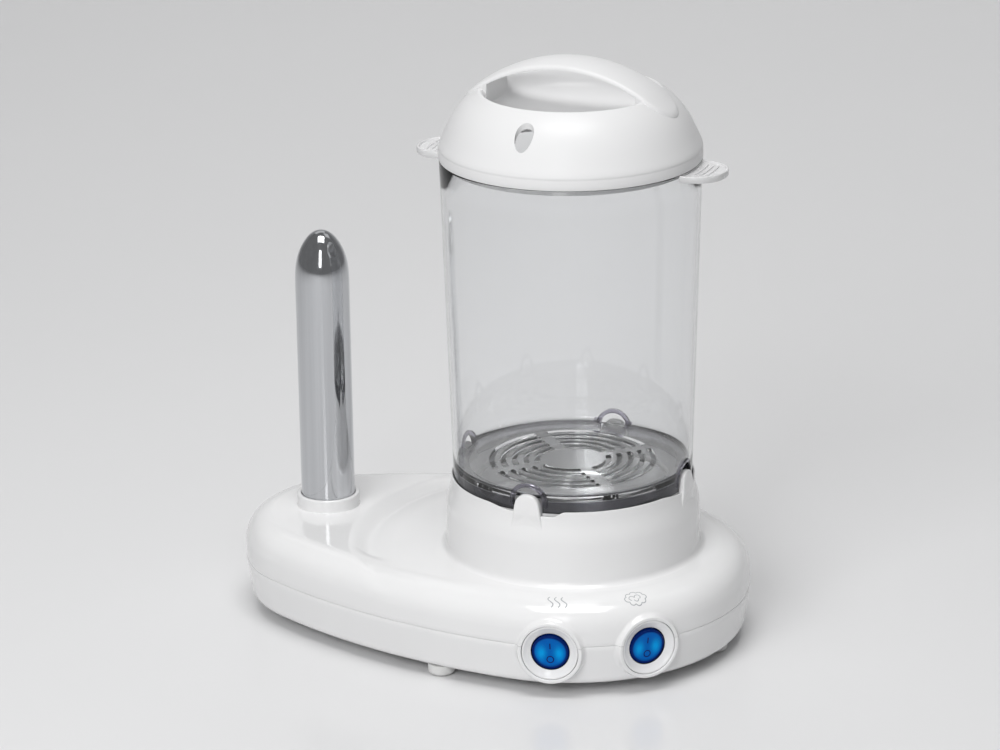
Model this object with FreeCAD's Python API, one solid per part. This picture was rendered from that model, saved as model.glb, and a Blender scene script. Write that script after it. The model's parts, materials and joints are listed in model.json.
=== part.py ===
import FreeCAD, Part
import os, math

os.makedirs("parts", exist_ok=True)
V = FreeCAD.Vector
NODES = {}

# ---------------------------------------------------------------- driving dimensions (mm)
XC = 46.6                 # axis of the collar, container and lid
XS = -97.8                # axis of the bread spike
CAP_R, CAP_L = 94.5, 66.0 # outline: right cap about (XC, 0), left cap about (XL, 0)
XL = -75.1
SIDE_R, SIDE_C = 340.0, 245.5   # outline: side arcs, centres (XC, -/+SIDE_C)
WALL = 2.5                # covers
GROUND = -4.0             # underside of the feet in the drawing; the whole part is raised by this on writing
Z_FOOT = 2.0              # underside of the bottom cover
FOOT_R = 7.2
Z_PART = 24.5             # parting line
Z_TERR = 47.0             # terrace round the collar
Z_PLAT = 50.0             # platform round the spike
R_STEP0, R_STEP1 = 108.0, 121.0  # step between terrace and platform
COL_IN = 65.2             # collar, inside
Z_LEDGE = 83.0            # ledge that carries the container
Z_LIP = 87.0              # top of the thin lip
FIN_TOP = 95.1
CON_B, CON_T = 63.3, 68.2 # container radius, outside, bottom and top
CON_Z0, CON_Z1 = 83.2, 259.5
CON_W = 2.0
FLOOR_TOP = 94.0
LID_R, LID_Z = 68.4, 259.7
HAN_R, HAN_C, HAN_T, HAN_HW = 84.0, 227.5, 3.6, 14.0
HAN_END = 58.4
SPIKE_R, SPIKE_TOP = 14.6, 205.0
SW_ANG = {"left": 14.2, "right": 45.7}   # from -Y towards +X, about the collar axis
SW_R, SW_Z = 94.8, 21.2
ROCK_R = 9.7
RIM_IN, RIM_OUT, RIM_H = 14.8, 16.9, 1.0  # raised rim round each switch, part of both covers
ROCK_TILT = 8.0           # each side of level; at rest the lower half is pressed in


# ---------------------------------------------------------------- helpers
def path(p, ox=0.0):
    """Wire in the XZ plane: (x, z), ('a', xm, zm, x, z) an arc, ('s', [(x, z)...]) a spline."""
    edges, cur = [], None
    first = None
    for q in p:
        if q[0] == 'a':
            a, m, b = cur, V(ox + q[1], 0, q[2]), V(ox + q[3], 0, q[4])
            edges.append(Part.Arc(a, m, b).toShape())
            cur = b
        elif q[0] == 's':
            pts = [cur] + [V(ox + x, 0, z) for x, z in q[1]]
            c = Part.BSplineCurve()
            if len(q) > 2:
                c.interpolate(Points=pts, InitialTangent=V(q[2][0], 0, q[2][1]), FinalTangent=V(q[3][0], 0, q[3][1]))
            else:
                c.interpolate(pts)
            edges.append(c.toShape())
            cur = pts[-1]
        else:
            b = V(ox + q[0], 0, q[1])
            if cur is not None and b.distanceToPoint(cur) > 1e-7:
                edges.append(Part.makeLine(cur, b))
            cur = b
            if first is None:
                first = b
    return edges, first, cur


def rev(p, ox=XC, oy=0.0, ang=360.0):
    e, a, b = path(p, ox)
    if a.distanceToPoint(b) > 1e-7:
        e.append(Part.makeLine(b, a))
    f = Part.Face(Part.Wire(e))
    s = f.revolve(V(ox, 0, 0), V(0, 0, 1), ang)
    if oy:
        s.translate(V(0, oy, 0))
    return s


def cyl(x, y, z0, z1, r):
    return Part.makeCylinder(r, z1 - z0, V(x, y, z0))


def box(x0, y0, z0, x1, y1, z1):
    return Part.makeBox(x1 - x0, y1 - y0, z1 - z0, V(x0, y0, z0))


def fuse(items):
    s = items[0]
    if len(items) > 1:
        s = s.multiFuse(items[1:])
    return s.removeSplitter()


TH = math.degrees(math.atan2(SIDE_C, XL - XC))      # direction of the left tangent points
ARCS = [((XC, 0.0), CAP_R, -90.0, 180.0), ((XC, -SIDE_C), SIDE_R, 90.0, TH - 90.0),
        ((XL, 0.0), CAP_L, TH, 360.0 - 2 * TH), ((XC, SIDE_C), SIDE_R, 360.0 - TH, TH - 90.0)]


def slab(p):
    """Solid whose wall follows the four-arc outline; p is the profile as (inset, z) from bottom to top."""
    z0, last = p[0][1], p[-1]
    z1 = last[4] if last[0] == 'a' else last[1]
    sectors = []
    for i, (c, r, a0, sw) in enumerate(ARCS):
        q = [('a', r - s[1], s[2], r - s[3], s[4]) if s[0] == 'a' else (r - s[0], s[1]) for s in p]
        inner = SIDE_C if i % 2 else 0.0
        e, a, b = path(q + [(inner, z1), (inner, z0)])
        e.append(Part.makeLine(b, a))
        f = Part.Face(Part.Wire(e)).revolve(V(0, 0, 0), V(0, 0, 1), sw)
        f.rotate(V(0, 0, 0), V(0, 0, 1), a0)
        f.translate(V(c[0], c[1], 0))
        sectors.append(f)
    return sectors[0].multiFuse(sectors[1:]).removeSplitter()


def arcmid(cx, cz, r, a):
    a = math.radians(a)
    return cx - r * math.sin(a), cz + r * math.cos(a)


def high(off, z0):
    r = 15.0 - off
    m = arcmid(15.0, 35.0, r, 45)
    return [(off + (0.4 if not off else 0), z0)] + ([(0.0, z0 + 0.4)] if not off else []) + \
        [(off, 35.0), ('a', m[0], m[1], 15.0, 35.0 + r)]


def low(off, z0):
    r, r2 = 14.05 - off, 24.9 - off
    a, b = arcmid(14.0, 32.3, r, 50), arcmid(14.0, 32.3, r, 20)
    m = arcmid(17.7, 22.1, r2, 10)
    s = 14.0 - r
    return [(s + (0.4 if not off else 0), z0)] + ([(s, z0 + 0.4)] if not off else []) + \
        [(s, 32.3), ('a', a[0], a[1], b[0], b[1]), ('a', m[0], m[1], 17.7, 22.1 + r2)]


def step_tool(dz):
    xm, zm = (R_STEP0 + R_STEP1) / 2, (Z_TERR + Z_PLAT) / 2
    rr = ((xm - R_STEP0) ** 2 + (zm - Z_TERR) ** 2) / (2 * (zm - Z_TERR))
    t = math.atan2(zm - Z_TERR, xm - R_STEP0)
    a = (R_STEP0 + rr * math.sin(t), Z_TERR + rr - rr * math.cos(t))
    b = (R_STEP1 - rr * math.sin(t), Z_PLAT - rr + rr * math.cos(t))
    return rev([(0, -10), (R_STEP0, -10), (R_STEP0, Z_TERR + dz), ('a', a[0], a[1] + dz, xm, zm + dz),
                ('a', b[0], b[1] + dz, R_STEP1, Z_PLAT + dz), (R_STEP1, 90), (0, 90)])


def polar(deg, r):
    """Point at r from the collar axis; 0 = -Y, positive towards +X."""
    a = math.radians(deg)
    return XC + r * math.sin(a), -r * math.cos(a)


def put(shape, deg):
    """Local switch frame: +Z outward, +X to the right seen from outside, +Y up, origin on the wall."""
    s = shape.copy()
    a = math.radians(deg)
    x, y = polar(deg, SW_R)
    m = FreeCAD.Matrix(math.cos(a), 0, math.sin(a), x, math.sin(a), 0, -math.cos(a), y, 0, 1, 0, SW_Z, 0, 0, 0, 1)
    s.transformShape(m, True, False)
    return s


def lrev(p):
    """Solid of revolution about the switch's own axis; p as (r, h)."""
    e, a, b = path(p, 0.0)
    if a.distanceToPoint(b) > 1e-7:
        e.append(Part.makeLine(b, a))
    return Part.Face(Part.Wire(e)).revolve(V(0, 0, 0), V(0, 0, 1), 360)


def tube(pts, r, bend):
    """Round wire along straight runs joined by tangent arcs of radius bend."""
    P = [V(*p) for p in pts]
    edges, cur = [], P[0]
    for i in range(1, len(P) - 1):
        u = (P[i] - P[i - 1]).normalize()
        w = (P[i + 1] - P[i]).normalize()
        turn = u.getAngle(w)
        t = bend * math.tan(turn / 2)
        a, b = P[i] - u * t, P[i] + w * t
        n = (w - u).normalize()
        c = P[i] + n * (bend / math.cos(turn / 2))
        m = c - n * bend
        edges.append(Part.makeLine(cur, a))
        edges.append(Part.Arc(a, m, b).toShape())
        cur = b
    edges.append(Part.makeLine(cur, P[-1]))
    w = Part.Wire(edges)
    d = (P[1] - P[0]).normalize()
    prof = Part.Wire([Part.makeCircle(r, P[0], d)])
    s = w.makePipeShell([prof], True, False)
    if s.Volume < 0:
        s.reverse()
    return s


def node(name, shape):
    if isinstance(shape, (list, tuple)):
        shape = Part.makeCompound([k for s in shape for k in (s.Solids or [s])])
    NODES[name] = shape


# ---------------------------------------------------------------- covers
out_hi, out_lo = slab(high(0.0, Z_PART)), slab(low(0.0, Z_PART))
in_hi, in_lo = slab(high(WALL, Z_PART - 3)), slab(low(WALL, Z_PART - 3))
outer = out_hi.cut(step_tool(0.0)).fuse(out_lo)
collar = rev([(0, 44.6), (71.0, 44.6), (71.0, Z_TERR), ('a', 68.74, 47.94, 67.8, 50.2), (67.5, 69.0),
              ('s', [(67.05, 73.2), (65.9, 77.4), (65.0, 81.2), (64.75, 84.4)], (0, 1), (0, 1)),
              (64.75, Z_LIP - 0.3), ('a', 64.66, Z_LIP - 0.1, 64.45, Z_LIP), (0, Z_LIP)])
outer = outer.fuse(collar)
void = in_hi.cut(step_tool(-WALL)).fuse(in_lo)
void = void.multiFuse([cyl(XC, 0, 40, 80.4, COL_IN)])
top = outer.cut(void)
top = top.cut(fuse([cyl(XC, 0, 75, 90, 52.0), cyl(XC, 0, Z_LEDGE, 90, 63.8)]))

# fins that locate the container, at 0, 90, 180 and 270 degrees
fin_side = Part.Face(Part.Wire(Part.makePolygon([V(XC + 59.5, 0, 80.8), V(XC + 66.1, 0, 75.0), V(XC + 66.3, 0, 79.6),
                                                 V(XC + 64.9, 0, 95.3), V(XC + 62.8, 0, 95.3), V(XC + 59.5, 0, 84.0),
                                                 V(XC + 59.5, 0, 80.8)])))
fin_w = fin_side.extrude(V(0, 18, 0))
fin_w.translate(V(0, -9, 0))
fp = Part.Wire([Part.makeLine(V(XC + 50, -8.4, 72), V(XC + 50, 8.4, 72)), Part.makeLine(V(XC + 50, 8.4, 72), V(XC + 50, 7.4, 84)),
                Part.makeLine(V(XC + 50, 7.4, 84), V(XC + 50, 6.9, 88.2)),
                Part.Arc(V(XC + 50, 6.9, 88.2), V(XC + 50, 0, FIN_TOP), V(XC + 50, -6.9, 88.2)).toShape(),
                Part.makeLine(V(XC + 50, -6.9, 88.2), V(XC + 50, -7.4, 84)), Part.makeLine(V(XC + 50, -7.4, 84), V(XC + 50, -8.4, 72))])
fin = fin_w.common(Part.Face(fp).extrude(V(20, 0, 0)))
fins = []
for k in range(4):
    f = fin.copy()
    f.rotate(V(XC, 0, 0), V(0, 0, 1), 90 * k)
    fins.append(f)
top = top.multiFuse(fins)

# bosses inside the top cover
SCREWS = [polar(55 + 90 - 20, 78), polar(75, 80), (-20.0, 75.0), (-20.0, -75.0), (-112.0, 30.0), (-112.0, -30.0)]
inside = void
bosses = []
for x, y in SCREWS:
    bosses.append(cyl(x, y, Z_PART + 0.1, 50, 4.2).common(inside))
for x in (XC - 61.0, XC + 61.0):
    bosses.append(cyl(x, 0, 54.2, 80.6, 3.6))
for y in (-26.0, 26.0):
    bosses.append(cyl(XS, y, 45.4, 47.7, 4.2))
top = top.multiFuse(bosses)
cuts = [cyl(x, y, Z_PART - 1, 41, 1.3) for x, y in SCREWS]
cuts += [cyl(x, 0, 50, 70, 1.3) for x in (XC - 61.0, XC + 61.0)]
cuts += [cyl(XS, y, 44, 49.0, 1.3) for y in (-26.0, 26.0)]
cuts.append(cyl(XS, 0, 40, 60, SPIKE_R + 0.1))
top = top.cut(Part.makeCompound(cuts))

# bottom cover: tray with a locating rim, posts and foot sockets
bot_out = slab([(7.4, Z_FOOT), ('a', 3.9, 3.5, 2.5, 7.0), (0.0, Z_PART - 0.4), (0.4, Z_PART)])
bot_in = slab([(9.4, Z_FOOT + WALL), ('a', 6.2, 5.9, 5.0, 8.6), (WALL, Z_PART + 1)])
rim = slab([(2.65, Z_PART - 6), (2.65, Z_PART + 2.5)]).cut(slab([(4.1, Z_PART - 7), (4.1, Z_PART + 3)]))
bottom = bot_out.cut(bot_in).fuse(rim)
posts = [cyl(x, y, Z_FOOT + 1, Z_PART, 5.2) for x, y in SCREWS]
GY = 60.0
clamp_xy = [(XC - 11.0, GY), (XC + 11.0, GY)]
tb = (2.0, 44.0)
posts += [cyl(x, y, Z_FOOT + 1, 10.4, 3.6) for x, y in clamp_xy]
posts += [cyl(tb[0] + s, tb[1], Z_FOOT + 1, 10.0, 3.0) for s in (-19, 19)]
FEET = [(126.6, 0.0), (4.0, -80.5), (4.0, 80.5), (-122.5, 0.0)]
posts += [cyl(x, y, Z_FOOT, Z_FOOT + 4.0, FOOT_R) for x, y in FEET]
bottom = bottom.multiFuse(posts)
cuts = [cyl(x, y, Z_FOOT - 1, 15.0, 3.6) for x, y in SCREWS] + [cyl(x, y, 14, 26, 1.9) for x, y in SCREWS]
cuts += [cyl(x, y, Z_FOOT - 1, 8.5, 2.6) for x, y in FEET]
cuts += [cyl(x, y, 6.9, 11, 1.3) for x, y in clamp_xy] + [cyl(tb[0] + s, tb[1], 6.9, 11, 1.3) for s in (-19, 19)]
GZ = 14.5
gl = Part.makeCylinder(6.6, 16, V(XC, 84, GZ), V(0, 1, 0))
cuts.append(gl)
bottom = bottom.cut(Part.makeCompound(cuts))

# switch seats: a local thickening behind the wall, a flat pocket for the bezel and a round hole
for side, ang in SW_ANG.items():
    seat = lrev([(0, -7.0), (19.0, -7.0), (19.0, 4.0), (0, 4.0)])
    seat = put(seat, ang)
    su = seat.common(out_lo)
    sl = seat.common(bot_out)
    rim_ring = lrev([(0, -6.0), (RIM_OUT, -6.0), (RIM_OUT, RIM_H - 0.5), ('a', RIM_OUT - 0.15, RIM_H - 0.15, RIM_OUT - 0.5, RIM_H), (0, RIM_H)])
    rim_ring = put(rim_ring, ang)
    hole = put(lrev([(0, -12.0), (13.2, -12.0), (13.2, -3.0), (RIM_IN, -3.0), (RIM_IN, 6.0), (0, 6.0)]), ang)
    up = rim_ring.common(box(-200, -200, Z_PART, 200, 200, 60))
    dn = rim_ring.common(box(-200, -200, Z_FOOT + 0.6, 200, 200, Z_PART))
    top = top.fuse(su).fuse(up).cut(hole)
    bottom = bottom.fuse(sl).fuse(dn).cut(hole)
top = top.cut(slab([(2.5, Z_PART - 5), (2.5, Z_PART + 2.6)]).cut(slab([(4.25, Z_PART - 6), (4.25, Z_PART + 3)])))
node("base_top_cover", top.removeSplitter())
node("base_bottom_cover", bottom.removeSplitter())

# ---------------------------------------------------------------- feet, screws
node("base_feet", [rev([(0, GROUND), (FOOT_R - 1.2, GROUND), ('a', FOOT_R - 0.35, GROUND + 0.35, FOOT_R, GROUND + 1.2),
                               (FOOT_R - 0.2, Z_FOOT), (2.5, Z_FOOT), (2.5, 5.8), (0, 5.8)], x, y) for x, y in FEET])


def screw(x, y, z, up, r=1.25, head=3.3, hh=2.0):
    """Pan-head screw, head underside at z, shank pointing up for length up."""
    s = rev([(0, z - hh), (head - 0.9, z - hh), ('a', head - 0.25, z - hh + 0.3, head, z - 0.9), (head, z), (r, z), (r, z + up - 1.2), (0.2, z + up), (0, z + up)], x, y)
    return s.cut(fuse([box(x - 2.1, y - 0.4, z - hh - 0.1, x + 2.1, y + 0.4, z - hh + 1.0), box(x - 0.4, y - 2.1, z - hh - 0.1, x + 0.4, y + 2.1, z - hh + 1.0)]))


node("base_screws", [screw(x, y, 15.0, 20.0) for x, y in SCREWS])

# ---------------------------------------------------------------- steam heater in the collar
node("heater_dish", rev([(0, 61.3), (44.0, 61.3), ('a', 49.4, 63.6, 51.7, 69.0), (51.7, 78.0), (57.0, 78.0), (57.0, 79.2), (50.5, 79.2),
                         (50.5, 69.0), ('a', 48.6, 64.4, 44.0, 62.5), (0, 62.5)]))
node("dish_gasket", rev([(52.1, 79.2), (57.0, 79.2), (57.0, 80.4), (52.1, 80.4)]))
ring = Part.makeTorus(38.0, 3.3, V(XC, 0, 57.5), V(0, 0, 1))
cutw = Part.Face(Part.makePolygon([V(XC, 0, 50), V(XC + 50 * math.cos(math.radians(62)), 50 * math.sin(math.radians(62)), 50),
                                   V(XC, 90, 50), V(XC - 50 * math.cos(math.radians(62)), 50 * math.sin(math.radians(62)), 50), V(XC, 0, 50)])).extrude(V(0, 0, 15))
ring = ring.cut(cutw)
parts = [ring]
for s in (1, -1):
    ex, ey = XC + s * 38 * math.cos(math.radians(62)), 38 * math.sin(math.radians(62))
    parts += [Part.makeSphere(3.3, V(ex, ey, 57.5)), cyl(ex, ey, 44.0, 57.5, 3.3), cyl(ex, ey, 37.0, 44.5, 1.2)]
node("heating_element", fuse(parts))
plate = rev([(0, 56.8), (46.0, 56.8), (46.0, 61.3), (0, 61.3)])
plate = plate.cut(Part.makeTorus(38.0, 3.35, V(XC, 0, 57.5), V(0, 0, 1)))
node("heater_plate", plate)
strap = fuse([box(XC - 68.0 + 2, -6.5, 52.7, XC + 66.0, 6.5, 54.2), cyl(XC, 0, 52.7, 54.2, 15.0)])
strap = strap.cut(Part.makeCompound([cyl(XC, 0, 50, 56, 8.4), cyl(XC - 61, 0, 50, 56, 1.7), cyl(XC + 61, 0, 50, 56, 1.7),
                                     cyl(XC + 33.5, 0, 50, 56, 1.0)]))
strap = strap.common(cyl(XC, 0, 50, 56, 65.0))
node("heater_strap", strap)
node("strap_screws", [screw(XC - 61, 0, 52.7, 12.0), screw(XC + 61, 0, 52.7, 12.0)])
thermo = fuse([cyl(XC, 0, 49.5, 56.8, 8.0), cyl(XC, 0, 47.0, 49.6, 6.4)] +
              [box(XC - 3.1, s * 3.6 - 0.4, 39.0, XC + 3.1, s * 3.6 + 0.4, 47.2) for s in (-1, 1)])
node("thermostat", thermo)
node("thermal_fuse", fuse([Part.makeCylinder(2.0, 11.0, V(XC + 27.0, -5.5, 50.6), V(0, 1, 0)),
                           Part.makeCylinder(0.6, 24.0, V(XC + 27.0, -12.0, 50.6), V(0, 1, 0))]))
clip = fuse([box(XC + 24.2, -4.0, 47.9, XC + 29.8, 4.0, 52.7), box(XC + 29.0, -4.0, 51.7, XC + 36.5, 4.0, 52.7)])
clip = clip.cut(Part.makeCompound([Part.makeCylinder(2.05, 20, V(XC + 27, -10, 50.6), V(0, 1, 0)), box(XC + 24.95, -5, 50.6, XC + 29.05, 5, 53),
                                   box(XC + 23, -5, 47.8, XC + 24.21, 5, 53)]))
clip = clip.multiFuse([cyl(XC + 33.5, 0, 50.6, 55.2, 0.95)])
node("fuse_clip", clip)

# ---------------------------------------------------------------- bread spike
tipo = [(14.2, 184.5), (12.2, 192.8), (8.4, 199.8), (4.0, 203.9), (0.0, SPIKE_TOP)]
tipi = [(2.9, 202.6), (7.4, 198.6), (10.9, 191.9), (12.7, 184.2), (13.1, 176.0)]
spike = rev([(SPIKE_R, 47.5), (SPIKE_R, 176.0), ('s', tipo, (0, 1), (-1, 0)), (0, SPIKE_TOP - 1.5),
             ('s', tipi, (1, 0), (0, -1)), (13.1, 45.4), (19.0, 45.4), (19.0, 47.4), (SPIKE_R, 47.4)], XS)
node("spike_tube", spike)
node("spike_collar", rev([(14.75, Z_PLAT), (17.6, Z_PLAT), (17.2, Z_PLAT + 0.6), (17.2, 53.8), ('a', 16.9, 54.7, 16.0, 55.0), (14.75, 55.0)], XS))
core = [cyl(XS, 0, 47.0, 168.0, 6.0)] + [cyl(XS, 0, z, z + 3.0, 13.0) for z in (52.0, 108.0, 160.0)]
core = fuse(core).cut(Part.makeCompound([cyl(XS, s * 3.0, 40, 166, 1.0) for s in (-1, 1)]))
node("spike_heater", core)
br = box(XS - 8.5, -32, 43.4, XS + 8.5, 32, 45.4).common(cyl(XS, 0, 43, 46, 30.5)).fuse(cyl(XS, 0, 43.4, 45.4, 13.5))
br = br.cut(Part.makeCompound([cyl(XS, 0, 43, 46, 7.0)] + [cyl(XS, y, 43, 46, 1.7) for y in (-26, 26)]))
br = br.fuse(rev([(5.0, 45.4), (12.6, 45.4), (12.6, 46.9), (0, 46.9), (0, 46.4), (5.0, 46.4)], XS)).cut(cyl(XS, 0, 40, 47.0, 5.0))
node("spike_bracket", br.removeSplitter())
node("spike_screws", [screw(XS, y, 43.4, 5.2) for y in (-26.0, 26.0)])

# ---------------------------------------------------------------- container
slope = (CON_T - CON_B) / (CON_Z1 - CON_Z0)


def con(z, t=0.0):
    return CON_B + (z - CON_Z0) * slope - t


shell = rev([(con(CON_Z0, CON_W), CON_Z0), (con(CON_Z0) - 0.5, CON_Z0), (con(CON_Z0), CON_Z0 + 0.5), (con(CON_Z1 - .6), CON_Z1 - .6), (con(CON_Z1) - 0.6, CON_Z1),
             (con(CON_Z1, CON_W) + 0.4, CON_Z1), (con(CON_Z1, CON_W), CON_Z1 - 0.4), (con(97.0, CON_W), 97.0), ('a', 60.9, 94.9, 58.8, FLOOR_TOP),
             (0, FLOOR_TOP), (0, FLOOR_TOP - 2.0), (con(92.0, CON_W), FLOOR_TOP - 2.0)])


def arch(hw, zt, x0, x1, zb):
    e = [Part.makeLine(V(XC + x0, -hw, zb), V(XC + x0, hw, zb)), Part.makeLine(V(XC + x0, hw, zb), V(XC + x0, hw, zt - hw)),
         Part.Arc(V(XC + x0, hw, zt - hw), V(XC + x0, 0, zt), V(XC + x0, -hw, zt - hw)).toShape(),
         Part.makeLine(V(XC + x0, -hw, zt - hw), V(XC + x0, -hw, zb))]
    return Part.Face(Part.Wire(e)).extrude(V(x1 - x0, 0, 0))


def turned(s, k):
    s = s.copy()
    s.rotate(V(XC, 0, 0), V(0, 0, 1), 90 * k)
    return s


body = rev([(0, 80), (con(80, 1.0), 80), (con(130, 1.0), 130), (0, 130)])
hump = arch(10.0, 100.8, 57.2, 66.0, 92.7).common(body)
pocket = arch(8.1, 98.9, 58.8, 75.0, 80.0)
lug = Part.Face(Part.Wire([Part.makeLine(V(XC + 66.6, 17.5, 255.8), V(XC + 66.6, -17.5, 255.8)), Part.makeLine(V(XC + 66.6, -17.5, 255.8), V(XC + 72.0, -17.0, 255.8)),
                           Part.Arc(V(XC + 72.0, -17.0, 255.8), V(XC + 80.9, -12.6, 255.8), V(XC + 85.4, 0, 255.8)).toShape(),
                           Part.Arc(V(XC + 85.4, 0, 255.8), V(XC + 80.9, 12.6, 255.8), V(XC + 72.0, 17.0, 255.8)).toShape(),
                           Part.makeLine(V(XC + 72.0, 17.0, 255.8), V(XC + 66.6, 17.5, 255.8))])).extrude(V(0, 0, 3.7))
lug = lug.cut(cyl(XC, 0, 250, 262, 67.2))
ribs = [box(XC + x, -11.0, 255.3, XC + x + 1.2, 11.0, 256.0) for x in (73.0, 76.0, 79.0)]
lug = lug.multiFuse(ribs)
shell = shell.multiFuse([turned(hump, k) for k in range(4)] + [lug, turned(lug, 2)])
slots = []
cross = fuse([box(XC - 60, -3.5, 88, XC + 60, 3.5, 98), box(XC - 3.5, -60, 88, XC + 3.5, 60, 98)])
cross.rotate(V(XC, 0, 0), V(0, 0, 1), 45)
for r in (19.0, 25.0, 31.0, 37.0, 43.0):
    slots += rev([(r - 1.5, 90), (r + 1.5, 90), (r + 1.5, 96), (r - 1.5, 96)]).cut(cross).Solids
slots += [turned(pocket, k) for k in range(4)]
shell = shell.cut(Part.makeCompound(slots))
node("container", shell)

# ---------------------------------------------------------------- lid
outer_curve = [(66.9, 269.8), (62.3, 279.3), (55.2, 288.8), (48.4, 294.3)]
bowl_curve = [(44.1, 291.2), (42.4, 287.7), (38.4, 284.8), (29.0, 282.9), (0.0, 282.0)]
lid = rev([(LID_R - 0.5, LID_Z), (LID_R, LID_Z + 0.5), (LID_R, 265.0), ('s', outer_curve, (0, 1), (-1, 0.72)),
           ('a', 46.8, 295.0, 45.2, 294.0), ('s', bowl_curve, (-0.5, -0.87), (-1, 0)), (0, 279.8),
           ('s', [(29.0, 280.7), (38.8, 282.4), (43.6, 285.2), (45.9, 289.2)], (1, 0), (0.35, 0.94)), (46.8, 292.2),
           ('s', [(53.5, 287.2), (60.3, 278.3), (64.8, 269.2), (66.3, 265.0)], (0.8, -0.6), (0, -1)),
           (66.3, 264.0), (63.6, 263.0), (63.6, 256.9), (64.0, 256.5), (65.0, 256.5), (65.4, 256.9), (65.4, 260.0), (66.2, 260.0), (66.2, LID_Z)])
lid = lid.cut(cyl(XC - 1.6, -58.5, 264, 300, 4.9))
node("lid_shell", lid)
filled = rev([(0, 240), (LID_R, 240), (LID_R, 265.0), ('s', outer_curve, (0, 1), (-1, 0.72)), ('a', 46.8, 295.0, 45.2, 294.0),
              ('s', bowl_curve, (-0.5, -0.87), (-1, 0)), (0, 240)])
ha = Part.makeCylinder(HAN_R, 40, V(XC, -20, HAN_C), V(0, 1, 0))
hb = Part.makeCylinder(HAN_R - HAN_T, 42, V(XC, -21, HAN_C), V(0, 1, 0))
legs = fuse([box(XC - 48.0, -20, 270, XC - 41.0, 20, 320), box(XC + 41.0, -20, 270, XC + 48.0, 20, 320)])
hraw = ha.cut(hb).fuse(ha.common(legs))
er = 12.5
plan = Part.Face(Part.Wire([Part.makeLine(V(XC - HAN_END + er, -HAN_HW, 250), V(XC + HAN_END - er, -HAN_HW, 250)),
                            Part.Arc(V(XC + HAN_END - er, -HAN_HW, 250), V(XC + HAN_END, 0, 250), V(XC + HAN_END - er, HAN_HW, 250)).toShape(),
                            Part.makeLine(V(XC + HAN_END - er, HAN_HW, 250), V(XC - HAN_END + er, HAN_HW, 250)),
                            Part.Arc(V(XC - HAN_END + er, HAN_HW, 250), V(XC - HAN_END, 0, 250), V(XC - HAN_END + er, -HAN_HW, 250)).toShape()])).extrude(V(0, 0, 70))
handle = hraw.common(plan).cut(filled)
handle = max(handle.Solids, key=lambda s: s.Volume)
node("lid_handle", handle)

# ---------------------------------------------------------------- switches
for side, ang in SW_ANG.items():
    bez = lrev([(10.15, -2.1), (14.0, -2.1), (14.0, -3.0), (14.7, -3.0), (14.7, 0.1), ('a', 14.5, 0.4, 14.2, 0.35), ('a', 12.4, -1.0, 10.5, -1.6), (10.15, -1.8)])
    node("bezel_" + side, put(bez, ang))
    bd = lrev([(0, -20.0), (12.6, -20.0), (13.1, -19.4), (13.1, -3.0), (13.9, -3.0), (13.9, -2.2), (10.15, -2.2), (10.15, -12.0), (0, -12.0)])
    bd = bd.cut(Part.makeCylinder(1.26, 23.2, V(-11.6, 0, -4.0), V(1, 0, 0)))
    bd = bd.cut(Part.makeCompound([box(-3.2, y - 0.45, -21, 3.2, y + 0.45, -11) for y in (-7.0, 0.0, 7.0)]))
    node("switch_body_" + side, put(bd, ang))
    node("switch_terminals_" + side, [put(box(-3.15, y - 0.4, -28.0, 3.15, y + 0.4, -11.2), ang) for y in (-7.0, 0.0, 7.0)])
    node("lamp_" + side, put(fuse([Part.makeCylinder(1.9, 2.2, V(0, 3.6, -11.9)), Part.makeSphere(1.9, V(0, 3.6, -9.8))]), ang))
    # rocker: level shape first, then tipped so that its lower half is pressed in
    rk = lrev([(0, -6.5), (9.6, -6.5), (9.6, -1.0), (0, -1.0)]).common(Part.makeSphere(9.95, V(0, 0, -4.0)))
    dish = Part.makeCylinder(60.0, 40, V(-20, 0, 58.3), V(1, 0, 0))
    rk = rk.cut(dish)
    rk = fuse([rk, Part.makeCylinder(1.2, 22.6, V(-11.3, 0, -4.0), V(1, 0, 0))])
    rk.rotate(V(0, 0, -4.0), V(1, 0, 0), ROCK_TILT)
    node("rocker_" + side, put(rk, ang))

# ---------------------------------------------------------------- mains entry
G_OUT = 96.93
gland = Part.makeCylinder(6.5, 10.5, V(XC, 84.0, GZ), V(0, 1, 0))
gland = gland.fuse(Part.makeCylinder(7.6, 5.0, V(XC, 84.0, GZ), V(0, 1, 0)).cut(bot_out.cut(bot_in)))
gland = gland.fuse(Part.makeCylinder(7.8, 3.2, V(XC, G_OUT - 3.2, GZ), V(0, 1, 0)).cut(out_lo).cut(bot_out))
gland = gland.cut(Part.makeCylinder(3.4, 30, V(XC, 78, GZ), V(0, 1, 0)))
node("cord_gland", gland.removeSplitter())
cl = box(XC - 15, GY - 4, 10.4, XC + 15, GY + 4, 13.4).fuse(box(XC - 5.5, GY - 4, 10.4, XC + 5.5, GY + 4, 19.5))
cl = cl.cut(Part.makeCompound([Part.makeCylinder(3.3, 12, V(XC, GY - 6, GZ), V(0, 1, 0))] + [cyl(x, y, 10, 14, 1.7) for x, y in clamp_xy]))
node("cord_clamp", cl.removeSplitter())


def screw_down(x, y, z, down):
    s = screw(x, y, 0, down)
    s.rotate(V(x, y, 0), V(1, 0, 0), 180)
    s.translate(V(0, 0, z))
    return s


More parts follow.
